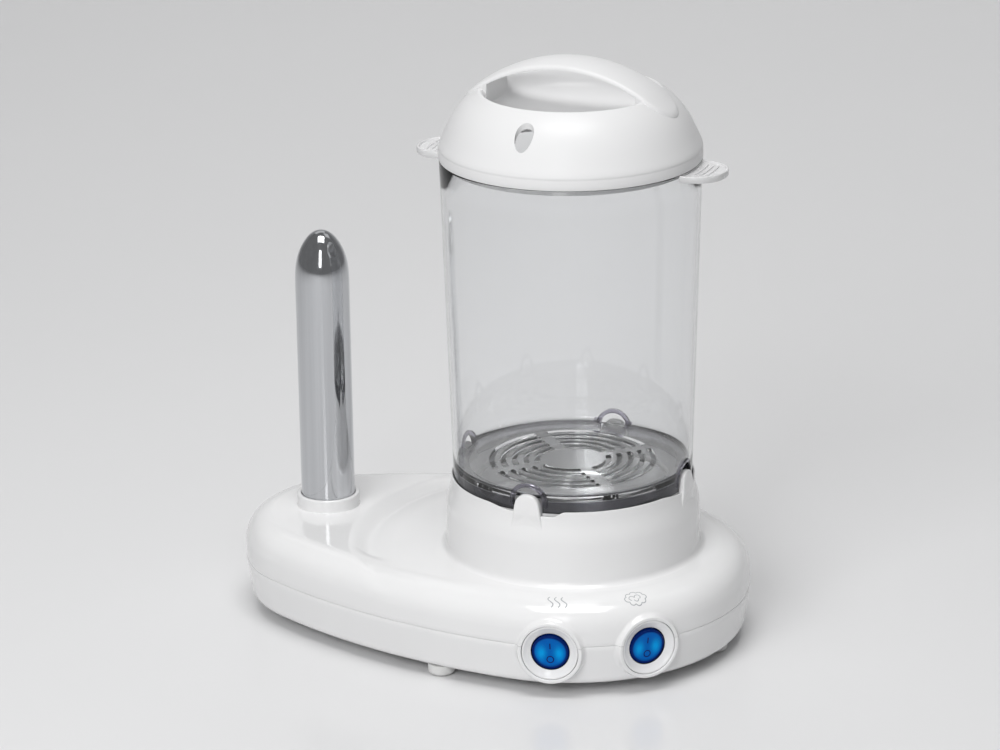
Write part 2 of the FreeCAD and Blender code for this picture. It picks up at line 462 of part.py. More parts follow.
node("clamp_screws", [screw_down(x, y, 13.4, 6.0) for x, y in clamp_xy])
tx, ty = tb
blk = fuse([box(tx - 23, ty - 6, 10.0, tx + 23, ty + 6, 13.0), box(tx - 14.5, ty - 6, 10.0, tx + 14.5, ty + 6, 22.0)])
blk = blk.cut(Part.makeCompound([cyl(tx + s, ty, 9, 14, 1.7) for s in (-19, 19)] + [Part.makeCylinder(2.2, 14, V(tx + s, ty - 7, 15.0), V(0, 1, 0)) for s in (-9, 0, 9)] +
                                [cyl(tx + s, ty, 15, 23, 1.8) for s in (-9, 0, 9)]))
node("terminal_block", blk)
node("terminal_screws", [screw_down(tx + s, ty, 13.0, 5.5) for s in (-19, 19)])

# ---------------------------------------------------------------- wiring inside the base
WR = 1.15


def term(side, k, h):
    """Row-frame point on a switch terminal: k = -1, 0, 1 (lower, middle, upper), h outward."""
    a = math.radians(SW_ANG[side])
    x, y = polar(SW_ANG[side], SW_R + h)
    return x, y, SW_Z + 7.0 * k


wires = []
la, lb = term("left", -1, -29.2), term("left", 0, -29.2)
ra, rb = term("right", -1, -29.2), term("right", 0, -29.2)
la2, ra2 = term("left", -1, -36.0), term("right", -1, -38.0)
lb2, rb2 = term("left", 0, -36.0), term("right", 0, -40.0)
wires.append(tube([la, la2, (tx - 9.0 + 18, 10.0, 14.2), (tx - 9.0, ty - 16, 15.0), (tx - 9.0, ty - 1.0, 15.0)], WR, 5.0))
wires.append(tube([ra, ra2, (60.0, -14.0, 14.2), (tx + 14, 20.0, 15.0), (tx, ty - 14, 15.0), (tx, ty - 1.0, 15.0)], WR, 5.0))
wires.append(tube([lb, lb2, (30.0, -40.0, 24.0), (-40.0, -22.0, 27.0), (XS + 1.0, -9.0, 30.0), (XS, -3.0, 38.0), (XS, -3.0, 60.0)], 0.9, 4.0))
wires.append(tube([(XS, 3.0, 60.0), (XS, 3.0, 36.0), (XS + 10, 14.0, 28.0), (-40.0, 30.0, 24.0), (tx + 9, ty - 18, 15.0), (tx + 9, ty - 1.0, 15.0)], 0.9, 4.0))
wires.append(tube([rb, rb2, (XC + 16, -22.0, 27.0), (XC, -5.2, 32.0), (XC, -5.2, 44.0)], WR, 4.0))
node("internal_wires", wires)


# ---------------------------------------------------------------- write
lo = [1e9] * 3
hi = [-1e9] * 3
for name, s in NODES.items():
    s = s.copy()
    s.translate(V(0, 0, -GROUND))
    bb = s.BoundBox
    for i, (a, b) in enumerate(((bb.XMin, bb.XMax), (bb.YMin, bb.YMax), (bb.ZMin, bb.ZMax))):
        lo[i], hi[i] = min(lo[i], a), max(hi[i], b)
    print("%-26s solids %d valid %s vol %.1f  box %s" % (name, len(s.Solids), s.isValid(), s.Volume / 1000.0,
          [round(v, 2) for v in (bb.XMin, bb.YMin, bb.ZMin, bb.XMax, bb.YMax, bb.ZMax)]))
    s.exportStep("parts/%s.step" % name)
print("box", [round(v, 3) for v in lo], [round(v, 3) for v in hi], "nodes", len(NODES))
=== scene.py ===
import json
import math
import bpy
import bmesh
import numpy as np
from mathutils import Matrix, Vector


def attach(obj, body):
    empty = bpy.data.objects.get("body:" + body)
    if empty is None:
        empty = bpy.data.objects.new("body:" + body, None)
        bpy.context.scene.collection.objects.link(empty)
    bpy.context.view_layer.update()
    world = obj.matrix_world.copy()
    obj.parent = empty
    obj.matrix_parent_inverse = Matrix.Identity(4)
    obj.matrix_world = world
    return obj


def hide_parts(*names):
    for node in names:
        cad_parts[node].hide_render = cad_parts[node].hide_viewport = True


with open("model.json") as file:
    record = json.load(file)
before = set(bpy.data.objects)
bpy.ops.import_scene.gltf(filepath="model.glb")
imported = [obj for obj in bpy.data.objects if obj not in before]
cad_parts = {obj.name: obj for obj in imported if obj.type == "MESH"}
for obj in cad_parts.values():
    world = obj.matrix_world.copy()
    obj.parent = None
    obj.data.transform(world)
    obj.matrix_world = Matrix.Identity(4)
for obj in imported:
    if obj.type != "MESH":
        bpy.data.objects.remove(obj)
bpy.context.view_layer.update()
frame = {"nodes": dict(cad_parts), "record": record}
NODES = frame["nodes"]

# ------------------------------------------------------------------ sizes, in mm
LIFT = 4.0                # the feet stand this far below the datum that the heights here are counted from
XC, XS = 46.6, -97.8      # axes of the collar and of the bread spike
CAP_R, CAP_L, XL = 94.5, 66.0, -75.1
SIDE_R, SIDE_C = 340.0, 245.5
WALL = 2.5
Z_FOOT, Z_PART, Z_TERR, Z_PLAT = 2.0, 24.5, 47.0, 50.0
R0, R1 = 108.0, 121.0
SW_ANG = {"left": 14.2, "right": 45.7}
SW_R, SW_Z = 94.8, 21.2


# ------------------------------------------------------------------ small helpers
def spline(points, t0=None, t1=None, n=10):
    """Cubic through the points with set end directions, n steps a span."""
    p = np.array(points, float)
    h = np.linalg.norm(np.diff(p, axis=0), axis=1)
    m = len(p)
    A = np.zeros((m, m))
    b = np.zeros((m, 2))
    for i in range(1, m - 1):
        A[i, i - 1], A[i, i], A[i, i + 1] = h[i], 2 * (h[i] + h[i - 1]), h[i - 1]
        b[i] = 3 * (h[i] * (p[i] - p[i - 1]) / h[i - 1] + h[i - 1] * (p[i + 1] - p[i]) / h[i])
    for k, t in ((0, t0), (m - 1, t1)):
        if t is None:
            A[k, k] = 1
            j = 1 if k == 0 else m - 1
            b[k] = (p[j] - p[j - 1]) / h[j - 1]
        else:
            v = np.array(t, float)
            A[k, k] = 1
            b[k] = v / np.linalg.norm(v)
    d = np.linalg.solve(A, b)
    out = [p[0]]
    for i in range(m - 1):
        for s in np.linspace(0, 1, n + 1)[1:]:
            a, c = 1 - s, s
            out.append(a * a * (1 + 2 * c) * p[i] + c * c * (3 - 2 * c) * p[i + 1] + h[i] * (a * a * c * d[i] - a * c * c * d[i + 1]))
    return [tuple(q) for q in out]


def arc(cx, cz, r, a0, a1, n):
    """Points on a circle, angles in degrees from +X towards +Z."""
    return [(cx + r * math.cos(math.radians(a)), cz + r * math.sin(math.radians(a))) for a in np.linspace(a0, a1, n + 1)]


def fillet(a, b, c, r, n=5):
    """Arc that rounds the corner b of the path a-b-c."""
    a, b, c = (np.array(q, float) for q in (a, b, c))
    u, v = (a - b) / np.linalg.norm(a - b), (c - b) / np.linalg.norm(c - b)
    half = math.acos(max(-1, min(1, float(u @ v)))) / 2
    t = r / math.tan(half)
    p, q = b + u * t, b + v * t
    o = b + (u + v) / np.linalg.norm(u + v) * (r / math.sin(half))
    a0 = math.atan2(*(p - o)[::-1])
    d = math.atan2(*(q - o)[::-1]) - a0
    d = (d + math.pi) % (2 * math.pi) - math.pi
    return [tuple(o + r * np.array([math.cos(a0 + d * s), math.sin(a0 + d * s)])) for s in np.linspace(0, 1, n + 1)]


def smooth(x):
    x = np.clip(x, 0.0, 1.0)
    return x * x * (3 - 2 * x)


def make(name, verts, faces, mat, body, slot, replaces=(), mm=True, angle=35.0, normals=True):
    """A mesh piece from points in mm; shaded smooth with edges sharper than angle kept sharp."""
    me = bpy.data.meshes.new(name)
    v = np.array(verts, float)
    if mm:
        v = (v + np.array([0, 0, LIFT])) * 0.001
    me.from_pydata([tuple(q) for q in v], [], [tuple(int(i) for i in f) for f in faces])
    me.validate()
    bm = bmesh.new()
    bm.from_mesh(me)
    bmesh.ops.remove_doubles(bm, verts=bm.verts, dist=1e-7)
    bmesh.ops.recalc_face_normals(bm, faces=bm.faces)
    bm.to_mesh(me)
    bm.free()
    ob = bpy.data.objects.new(name, me)
    bpy.context.scene.collection.objects.link(ob)
    finish_piece(ob, mat, body, replaces, angle)
    return ob


def shade(me, angle):
    me.polygons.foreach_set("use_smooth", [True] * len(me.polygons))
    bm = bmesh.new()
    bm.from_mesh(me)
    lim = math.radians(angle)
    for e in bm.edges:
        e.smooth = not (len(e.link_faces) == 2 and e.calc_face_angle(0.0) > lim)
    bm.to_mesh(me)
    bm.free()


def finish_piece(ob, mat, body, replaces, angle=35.0):
    shade(ob.data, angle)
    ob.data.materials.clear()
    ob.data.materials.append(mat)
    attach(ob, body)
    if replaces:
        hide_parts(*replaces)


def revolve(profile, n=192, cx=XC, cy=0.0, closed=True):
    """Verts and faces of a profile (r, z) turned round a vertical axis."""
    m = len(profile)
    verts = []
    for k in range(n):
        a = 2 * math.pi * k / n
        for r, z in profile:
            verts.append((cx + r * math.cos(a), cy + r * math.sin(a), z))
    faces = []
    for k in range(n):
        k2 = (k + 1) % n
        for i in range(m if closed else m - 1):
            j = (i + 1) % m
            faces.append((k * m + i, k2 * m + i, k2 * m + j, k * m + j))
    return verts, faces


def clean_axis(ob):
    """Merges the points that fall on the axis and drops faces without area."""
    bm = bmesh.new()
    bm.from_mesh(ob.data)
    bmesh.ops.remove_doubles(bm, verts=bm.verts, dist=2e-6)
    bmesh.ops.dissolve_degenerate(bm, edges=bm.edges, dist=1e-7)
    bmesh.ops.recalc_face_normals(bm, faces=bm.faces)
    bm.to_mesh(ob.data)
    bm.free()


def boolean(ob, cutter, op="DIFFERENCE"):
    mod = ob.modifiers.new("b", "BOOLEAN")
    mod.operation = op
    mod.solver = "EXACT"
    mod.object = cutter
    dg = bpy.context.evaluated_depsgraph_get()
    me = bpy.data.meshes.new_from_object(ob.evaluated_get(dg))
    ob.modifiers.remove(mod)
    old = ob.data
    ob.data = me
    bpy.data.meshes.remove(old)
    bpy.data.objects.remove(cutter)


def cutter(verts, faces):
    me = bpy.data.meshes.new("cut")
    me.from_pydata([tuple((np.array(q, float) + (0, 0, LIFT)) * 0.001) for q in verts], [], faces)
    bm = bmesh.new()
    bm.from_mesh(me)
    bmesh.ops.remove_doubles(bm, verts=bm.verts, dist=1e-8)
    bmesh.ops.recalc_face_normals(bm, faces=bm.faces)
    bm.to_mesh(me)
    bm.free()
    ob = bpy.data.objects.new("cut", me)
    bpy.context.scene.collection.objects.link(ob)
    return ob


def merge(into, other):
    """Adds the mesh of another list of (verts, faces) in mm to a piece."""
    bm = bmesh.new()
    bm.from_mesh(into.data)
    for verts, faces in other:
        vs = [bm.verts.new((np.array(q, float) + (0, 0, LIFT)) * 0.001) for q in verts]
        new = []
        for f in faces:
            try:
                new.append(bm.faces.new([vs[i] for i in f]))
            except ValueError:
                pass
        bmesh.ops.recalc_face_normals(bm, faces=new)
    bm.to_mesh(into.data)
    bm.free()


# ------------------------------------------------------------------ materials
def principled(name):
    m = bpy.data.materials.new(name)
    m.use_nodes = True
    nt = m.node_tree
    return m, nt, nt.nodes["Principled BSDF"]


def plastic(name, colour, rough, coat=0.0, wave=0.0, grain=0.0, grain_scale=900.0, spec=0.5, sss=0.0, tint=0.012):
    """Moulded plastic: slight colour drift, a fine skin texture and a very slow waviness of the moulding."""
    m, nt, b = principled(name)
    co = nt.nodes.new("ShaderNodeTexCoord")
    n1 = nt.nodes.new("ShaderNodeTexNoise")
    n1.inputs["Scale"].default_value = 14.0
    n1.inputs["Detail"].default_value = 2.0
    nt.links.new(co.outputs["Object"], n1.inputs["Vector"])
    ramp = nt.nodes.new("ShaderNodeValToRGB")
    c = np.array(colour)
    ramp.color_ramp.elements[0].position = 0.3
    ramp.color_ramp.elements[1].position = 0.7
    ramp.color_ramp.elements[0].color = (*(c * (1 - tint)), 1)
    ramp.color_ramp.elements[1].color = (*np.minimum(c * (1 + tint), 1), 1)
    nt.links.new(n1.outputs["Fac"], ramp.inputs["Fac"])
    nt.links.new(ramp.outputs["Color"], b.inputs["Base Color"])
    n2 = nt.nodes.new("ShaderNodeTexNoise")
    n2.inputs["Scale"].default_value = 60.0
    n2.inputs["Detail"].default_value = 4.0
    nt.links.new(co.outputs["Object"], n2.inputs["Vector"])
    mr = nt.nodes.new("ShaderNodeMapRange")
    mr.inputs["To Min"].default_value = max(rough - 0.03, 0.02)
    mr.inputs["To Max"].default_value = rough + 0.03
    nt.links.new(n2.outputs["Fac"], mr.inputs["Value"])
    nt.links.new(mr.outputs["Result"], b.inputs["Roughness"])
    b.inputs["Specular IOR Level"].default_value = spec
    b.inputs["Coat Weight"].default_value = coat
    b.inputs["Coat Roughness"].default_value = 0.05
    if sss:
        b.inputs["Subsurface Weight"].default_value = sss
        b.inputs["Subsurface Radius"].default_value = (0.004, 0.004, 0.004)
        b.inputs["Subsurface Scale"].default_value = 1.0
    last = None
    for amount, scale, detail in ((wave, 22.0, 1.0), (grain, grain_scale, 3.0)):
        if amount:
            n = nt.nodes.new("ShaderNodeTexNoise")
            n.inputs["Scale"].default_value = scale
            n.inputs["Detail"].default_value = detail
            nt.links.new(co.outputs["Object"], n.inputs["Vector"])
            bu = nt.nodes.new("ShaderNodeBump")
            bu.inputs["Strength"].default_value = 1.0
            bu.inputs["Distance"].default_value = amount
            nt.links.new(n.outputs["Fac"], bu.inputs["Height"])
            if last:
                nt.links.new(last.outputs["Normal"], bu.inputs["Normal"])
            last = bu
    if last:
        nt.links.new(last.outputs["Normal"], b.inputs["Normal"])
    return m


def metal(name, colour, rough, brush=None, depth=0.00001, spread=0.05):
    """Metal with brushing: brush is the noise scale per axis."""
    m, nt, b = principled(name)
    b.inputs["Metallic"].default_value = 1.0
    co = nt.nodes.new("ShaderNodeTexCoord")
    mp = nt.nodes.new("ShaderNodeMapping")
    mp.inputs["Scale"].default_value = brush or (40, 40, 40)
    nt.links.new(co.outputs["Object"], mp.inputs["Vector"])
    n = nt.nodes.new("ShaderNodeTexNoise")
    n.inputs["Scale"].default_value = 1.0
    n.inputs["Detail"].default_value = 5.0
    nt.links.new(mp.outputs["Vector"], n.inputs["Vector"])
    ramp = nt.nodes.new("ShaderNodeValToRGB")
    c = np.array(colour)
    ramp.color_ramp.elements[0].position = 0.3
    ramp.color_ramp.elements[1].position = 0.7
    ramp.color_ramp.elements[0].color = (*(c * 0.94), 1)
    ramp.color_ramp.elements[1].color = (*np.minimum(c * 1.04, 1), 1)
    nt.links.new(n.outputs["Fac"], ramp.inputs["Fac"])
    nt.links.new(ramp.outputs["Color"], b.inputs["Base Color"])
    mr = nt.nodes.new("ShaderNodeMapRange")
    mr.inputs["To Min"].default_value = max(rough - spread, 0.01)
    mr.inputs["To Max"].default_value = rough + spread
    nt.links.new(n.outputs["Fac"], mr.inputs["Value"])
    nt.links.new(mr.outputs["Result"], b.inputs["Roughness"])
    bu = nt.nodes.new("ShaderNodeBump")
    bu.inputs["Distance"].default_value = depth
    nt.links.new(n.outputs["Fac"], bu.inputs["Height"])
    nt.links.new(bu.outputs["Normal"], b.inputs["Normal"])
    return m


def clear(name, colour, rough=0.02, ior=1.49):
    m, nt, b = principled(name)
    b.inputs["Transmission Weight"].default_value = 1.0
    b.inputs["IOR"].default_value = ior
    co = nt.nodes.new("ShaderNodeTexCoord")
    n = nt.nodes.new("ShaderNodeTexNoise")
    n.inputs["Scale"].default_value = 9.0
    n.inputs["Detail"].default_value = 1.0
    nt.links.new(co.outputs["Object"], n.inputs["Vector"])
    ramp = nt.nodes.new("ShaderNodeValToRGB")
    c = np.array(colour)
    ramp.color_ramp.elements[0].color = (*(c * 0.99), 1)
    ramp.color_ramp.elements[1].color = (*np.minimum(c * 1.01, 1), 1)
    nt.links.new(n.outputs["Fac"], ramp.inputs["Fac"])
    nt.links.new(ramp.outputs["Color"], b.inputs["Base Color"])
    mr = nt.nodes.new("ShaderNodeMapRange")
    mr.inputs["To Min"].default_value = rough * 0.5
    mr.inputs["To Max"].default_value = rough * 1.5
    nt.links.new(n.outputs["Fac"], mr.inputs["Value"])
    nt.links.new(mr.outputs["Result"], b.inputs["Roughness"])
    return m


M = {
    "white_gloss": plastic("gloss_white", (0.87, 0.87, 0.872), 0.13, coat=0.35, wave=0.00006, grain=0.000004),
    "foot_white": plastic("foot_white", (0.80, 0.80, 0.79), 0.5, grain=0.00003),
    "white_lid": plastic("lid_white", (0.80, 0.80, 0.803), 0.33, coat=0.0, grain=0.000003, grain_scale=600.0, spec=0.3, tint=0.003),
    "white_bezel": plastic("bezel_white", (0.88, 0.88, 0.882), 0.14, coat=0.3, grain=0.000004),
    "white_gland": plastic("gland_white", (0.80, 0.80, 0.80), 0.4, grain=0.00002),
    "white_ceramic": plastic("ceramic_white", (0.82, 0.79, 0.74), 0.6, grain=0.00004),
    "black_phenolic": plastic("black_phenolic", (0.02, 0.02, 0.022), 0.45, grain=0.00002),
    "seal_silicone": plastic("seal_silicone", (0.62, 0.62, 0.61), 0.55, grain=0.00002),
    "wire_insulation": plastic("wire_insulation", (0.72, 0.70, 0.66), 0.55, grain=0.00002),
    "zinc_steel": metal("zinc_steel", (0.60, 0.61, 0.64), 0.35, (300, 300, 300)),
    "dish_steel": metal("dish_steel", (0.86, 0.86, 0.86), 0.34, (30, 900, 900), 0.00002),
    "heater_alloy": metal("heater_alloy", (0.66, 0.66, 0.66), 0.5, (250, 250, 250), 0.00005),
    "element_steel": metal("element_steel", (0.36, 0.33, 0.31), 0.42, (120, 120, 120)),
    "spike_chrome": metal("spike_chrome", (0.62, 0.63, 0.65), 0.09, (500, 500, 5), 0.000006, 0.04),
    "brass_terminal": metal("brass_terminal", (0.72, 0.52, 0.20), 0.35, (200, 200, 200)),
    "clear_container": clear("clear_plastic", (0.97, 0.975, 0.98), 0.02),
    "lamp_glass": clear("lamp_glass", (0.95, 0.5, 0.25), 0.05, 1.5),
}


def rocker_material():
    """Translucent blue cap: navy at its edge, lighter beside its middle, where the lamp shows through."""
    m, nt, b = principled("rocker_blue")
    co = nt.nodes.new("ShaderNodeTexCoord")
    n = nt.nodes.new("ShaderNodeTexNoise")
    n.inputs["Scale"].default_value = 300.0
    nt.links.new(co.outputs["Object"], n.inputs["Vector"])
    at = nt.nodes.new("ShaderNodeAttribute")
    at.attribute_name = "glow"
    add = nt.nodes.new("ShaderNodeMath")
    add.operation = "MULTIPLY_ADD"
    add.inputs[1].default_value = 0.06
    nt.links.new(n.outputs["Fac"], add.inputs[0])
    nt.links.new(at.outputs["Fac"], add.inputs[2])
    ramp = nt.nodes.new("ShaderNodeValToRGB")
    el = ramp.color_ramp.elements
    el[0].position, el[0].color = 0.03, (0.001, 0.012, 0.10, 1)
    el[1].position, el[1].color = 1.0, (0.001, 0.27, 0.62, 1)
    mid = el.new(0.45)
    mid.color = (0.001, 0.095, 0.38, 1)
    nt.links.new(add.outputs[0], ramp.inputs["Fac"])
    nt.links.new(ramp.outputs["Color"], b.inputs["Base Color"])
    nt.links.new(ramp.outputs["Color"], b.inputs["Emission Color"])
    b.inputs["Emission Strength"].default_value = 0.25
    b.inputs["Roughness"].default_value = 0.2
    b.inputs["Specular IOR Level"].default_value = 0.05
    return m


M["rocker_blue"] = rocker_material()
# Painted shade: the humps, the arches and the foot ring of the clear container are tinted dark grey for the darkness
# seen through the thick clear plastic there; the plastic itself is clear.
M["hump_clear"] = clear("hump_plastic_painted_shade", (0.24, 0.225, 0.28), 0.03)
M["arch_clear"] = clear("arch_plastic_painted_shade", (0.50, 0.48, 0.56), 0.04)
M["lug_clear"] = plastic("lug_plastic", (0.93, 0.93, 0.935), 0.2, coat=0.3, grain=0.000004)
M["lug_clear"].node_tree.nodes["Principled BSDF"].inputs["Transmission Weight"].default_value = 0.3
M["ring_clear"] = clear("ring_plastic_painted_shade", (0.20, 0.20, 0.225), 0.03)
M["mark_navy"] = plastic("mark_navy", (0.002, 0.010, 0.10), 0.5, spec=0.1)
M["mark_grey"] = plastic("mark_grey", (0.36, 0.37, 0.39), 0.5)

SLOT = {s["node"]: s["material_slot"] for s in frame["record"]["subparts"]}
for name, ob in NODES.items():
    ob.data.materials.clear()
    ob.data.materials.append(M[SLOT[name]])
    me = ob.data
    me.polygons.foreach_set("use_smooth", [True] * len(me.polygons))
    mod = ob.modifiers.new("weld", "WELD")
    mod.merge_threshold = 2e-6
    mod = ob.modifiers.new("edges", "EDGE_SPLIT")
    mod.split_angle = math.radians(32)

# ------------------------------------------------------------------ camera
CAM = bpy.data.cameras.new("camera")
CAM.lens, CAM.sensor_width = 134.665, 36.0
CAM.clip_start, CAM.clip_end = 0.05, 30.0
cam = bpy.data.objects.new("camera", CAM)
bpy.context.scene.collection.objects.link(cam)
right = Vector((0.92233462, 0.38617912, -0.01282753))
up = Vector((-0.11239718, 0.29991166, 0.94732247))
fwd = Vector((-0.36968328, 0.87230653, -0.32002435))
cam.matrix_world = Matrix(((right.x, up.x, -fwd.x, 0.73986), (right.y, up.y, -fwd.y, -1.73326),
                           (right.z, up.z, -fwd.z, 0.77104 + LIFT * 0.001), (0, 0, 0, 1)))
bpy.context.scene.camera = cam

# ------------------------------------------------------------------ stage and lights
def stage_material():
    m, nt, b = principled("stage")
    co = nt.nodes.new("ShaderNodeTexCoord")
    n = nt.nodes.new("ShaderNodeTexNoise")
    n.inputs["Scale"].default_value = 3.0
    nt.links.new(co.outputs["Object"], n.inputs["Vector"])
    ramp = nt.nodes.new("ShaderNodeValToRGB")
    ramp.color_ramp.elements[0].color = (0.785, 0.785, 0.79, 1)
    ramp.color_ramp.elements[1].color = (0.80, 0.80, 0.805, 1)
    nt.links.new(n.outputs["Fac"], ramp.inputs["Fac"])
    nt.links.new(ramp.outputs["Color"], b.inputs["Base Color"])
    b.inputs["Roughness"].default_value = 0.2
    b.inputs["Specular IOR Level"].default_value = 0.4
    return m


pts = [(-3.0, 0.0), (2.2, 0.0)] + [(2.2 + 1.0 * math.sin(a), 1.0 - 1.0 * math.cos(a)) for a in np.linspace(0.05, math.pi / 2, 20)] + [(3.2, 4.0)]
me = bpy.data.meshes.new("floor")
vs = [(x, y, z) for y, z in pts for x in (-5.0, 5.0)]
me.from_pydata(vs, [], [(2 * i, 2 * i + 1, 2 * i + 3, 2 * i + 2) for i in range(len(pts) - 1)])
me.polygons.foreach_set("use_smooth", [True] * len(me.polygons))
floor = bpy.data.objects.new("floor", me)
me.materials.append(stage_material())
bpy.context.scene.collection.objects.link(floor)
floor.rotation_euler = (0, 0, math.radians(22))


def light(name, az, el, dist, size, size_y, power, target=(0.0, 0.0, 0.15), colour=(1, 1, 1)):
    """Area light at azimuth az (0 = in front, 90 = to the right) and elevation el."""
    d = bpy.data.lights.new(name, "AREA")
    d.shape = "RECTANGLE"
    d.size, d.size_y = size, size_y
    d.energy = power
    d.color = colour
    o = bpy.data.objects.new(name, d)
    bpy.context.scene.collection.objects.link(o)
    a, e = math.radians(az), math.radians(el)
    p = Vector(target) + dist * Vector((math.sin(a) * math.cos(e), -math.cos(a) * math.cos(e), math.sin(e)))
    o.location = p
    o.rotation_mode = "QUATERNION"
    o.rotation_quaternion = (Vector(target) - p).to_track_quat("-Z", "Y")
    return o


light("top", 20, 76, 2.6, 1.5, 1.2, 36.5)
key = light("key", -4, 31, 2.2, 1.1, 0.8, 16.8)
key.visible_glossy = False
light("front_box", 14, 26, 1.3, 0.26, 0.78, 1.8)
light("right_box", 150, 58, 1.9, 0.8, 0.8, 0.9)
light("back_box", 215, 50, 1.9, 1.4, 0.8, 1.6)
light("wash", 0, 90, 1.7, 3.2, 1.6, 13.0, target=(-0.6, 2.0, 0.0)).visible_glossy = False

world = bpy.data.worlds.new("world")
bpy.context.scene.world = world
world.use_nodes = True
bg = world.node_tree.nodes["Background"]
bg.inputs["Color"].default_value = (0.985, 0.99, 1.0, 1)
bg.inputs["Strength"].default_value = 0.18
bpy.context.scene.view_settings.view_transform = "Standard"

# ------------------------------------------------------------------ outline of the base
X_TAN = XL + CAP_L * (XL - XC) / math.hypot(XL - XC, SIDE_C)


def outline(deg):
    """Point of the outline seen from the collar axis (0 = front, positive to the right) and the inward normal there."""
    a = math.radians(deg)
    d = np.array([math.sin(a), -math.cos(a)])
    o = np.array([XC, 0.0])
    if d[0] >= 0:
        c, r = np.array([XC, 0.0]), CAP_R
    else:
        c, r = np.array([XC, SIDE_C if d[1] < 0 else -SIDE_C]), SIDE_R
        w = o - c
        b = w @ d
        t = -b + math.sqrt(b * b - w @ w + r * r)
        if (o + t * d)[0] < X_TAN:
            c, r = np.array([XL, 0.0]), CAP_L
    w = o - c
    b = w @ d
    t = -b + math.sqrt(b * b - w @ w + r * r)
    p = o + t * d
    return p, (c - p) / np.linalg.norm(c - p)


def low_z(d):
    """Height of the low edge profile at inset d."""
    if d < 9.2:
        return 32.3 + math.sqrt(max(14.05 ** 2 - (14.05 - d) ** 2, 0))
    if d < 17.7:
        return 22.1 + math.sqrt(24.9 ** 2 - (17.7 - d) ** 2)
    return Z_TERR


def step(r):
    return float(smooth((r - R0) / (R1 - R0)))


COLS = 480
ANG = [360.0 * j / COLS for j in range(COLS)]
OUT = [outline(a) for a in ANG]

low_rows = [(0.5, 24.5), (0.14, 24.62), (0.0, 24.95), (0.0, 27.0), (0.0, 29.6), (0.0, 32.3)]
low_rows += arc(14.05, 32.3, 14.05, 180, 110.2, 22)[1:]
low_rows += arc(17.7, 22.1, 24.9, 109.8, 90, 6)[1:]
high_rows = [(0.5, 24.5), (0.14, 24.62), (0.0, 24.95), (0.0, 28.0), (0.0, 31.0), (0.0, 34.0)]
high_rows += arc(15.0, 34.0, 15.0, 180, 98, 22)[1:]
high_rows += arc(15.0, 34.0, 15.0, 98, 90, 3)[1:] + [(15.9, 49.0), (16.8, 49.0), (17.7, 49.0)]
assert len(low_rows) == len(high_rows)
collar_spl = spline([(67.5, 69.0), (67.05, 73.2), (65.9, 77.4), (65.0, 81.2), (64.75, 84.4), (64.7, 87.0)], (0, 1), (0, 1), 8)
collar_rz = [(67.8, 50.2), (67.5, 69.0)] + collar_spl


def collar_r(z):
    zs = [q[1] for q in collar_rz]
    rs = [q[0] for q in collar_rz]
    return float(np.interp(z, zs, rs))


def lip_z(deg):
    """Top of the thin lip: cut down beside each fin, deep and short on its right, shallow and long on its left."""
    d = (deg + 45.0) % 90.0 - 45.0
    s = math.radians(d) * 64.7
    if s > 0:
        return 87.0 - 2.9 * (1.0 - float(smooth((s - 13.5) / 7.0)))
    return 87.0 - 1.9 * (1.0 - float(smooth((-s - 9.0) / 17.0)))


cols = []
for ang, (p, n) in zip(ANG, OUT):
    col = []
    for (dl, zl), (dh, zh) in zip(low_rows, high_rows):
        q = p + n * (dl + dh) / 2
        w = step(math.hypot(q[0] - XC, q[1]))
        d, z = dl + (dh - dl) * w, zl + (zh - zl) * w
        q = p + n * d
        col.append((q[0], q[1], z))
    q = np.array(col[-1][:2]) - (XC, 0)
    rq = np.linalg.norm(q)
    u = q / rq
    b1, b2 = min(R0 - 3, 71.0 + (rq - 71.0) * 0.62), min(R1 + 3, 71.0 + (rq - 71.0) * 0.86)
    rs = list(np.linspace(rq, b2, 7)[1:]) + list(np.linspace(b2, b1, 17)[1:]) + list(np.linspace(b1, 71.0, 8)[1:])
    for r in rs:
        dip = 1.1 * math.exp(-((r - R0 - 1.0) / 6.5) ** 2) * float(smooth((rq - r) / 10.0))
        col.append((XC + u[0] * r, u[1] * r, Z_TERR + 2.0 * step(r) - dip))
    for r, z in arc(71.0, 50.2, 3.2, 270, 180, 9)[1:]:
        col.append((XC + u[0] * r, u[1] * r, z))
    deg = math.degrees(math.atan2(u[0], -u[1]))
    zt = lip_z(deg)
    zs = [54.0, 59.0, 64.0, 69.0] + list(np.linspace(69.0, zt - 0.3, 16)[1:])
    for z in zs:
        r = collar_r(z)
        col.append((XC + u[0] * r, u[1] * r, z))
    rt = collar_r(zt)
    inner = [(rt - 0.08, zt - 0.1), (rt - 0.28, zt), (rt - 0.5, zt), (63.9, zt - 0.1), (63.8, zt - 0.25), (63.8, 82.75), (63.5, 82.6), (52.4, 82.6), (52.0, 82.3),
             (52.0, 80.7), (52.3, 80.4), (64.8, 80.4), (65.2, 80.0), (65.2, 72.0), (65.2, 60.0), (65.2, 50.5), (66.2, 47.5)]
    for r, z in inner:
        col.append((XC + u[0] * r, u[1] * r, z))
    cols.append(col)
G = np.array(cols)                        # columns, rows, xyz
n_edge = len(low_rows) + 30               # rows of the skin from the parting line to the collar
skin = G[:, 2:n_edge]
dj = np.roll(skin, -1, axis=0) - np.roll(skin, 1, axis=0)
dk = np.gradient(skin, axis=1)
nn = np.cross(dj, dk)
nn /= np.linalg.norm(nn, axis=2, keepdims=True)
if nn[0, 3] @ np.array([OUT[0][1][0], OUT[0][1][1], 0]) < 0:
    nn = -nn
back = (skin + nn * WALL)[:, ::-1]
back[:, -1, 2] = Z_PART
G = np.concatenate([G, back[:, ::1]], axis=1)
rows = G.shape[1]
verts = G.reshape(-1, 3)
faces = [(j * rows + k, j * rows + (k + 1) % rows, ((j + 1) % COLS) * rows + (k + 1) % rows, ((j + 1) % COLS) * rows + k)
         for j in range(COLS) for k in range(rows)]
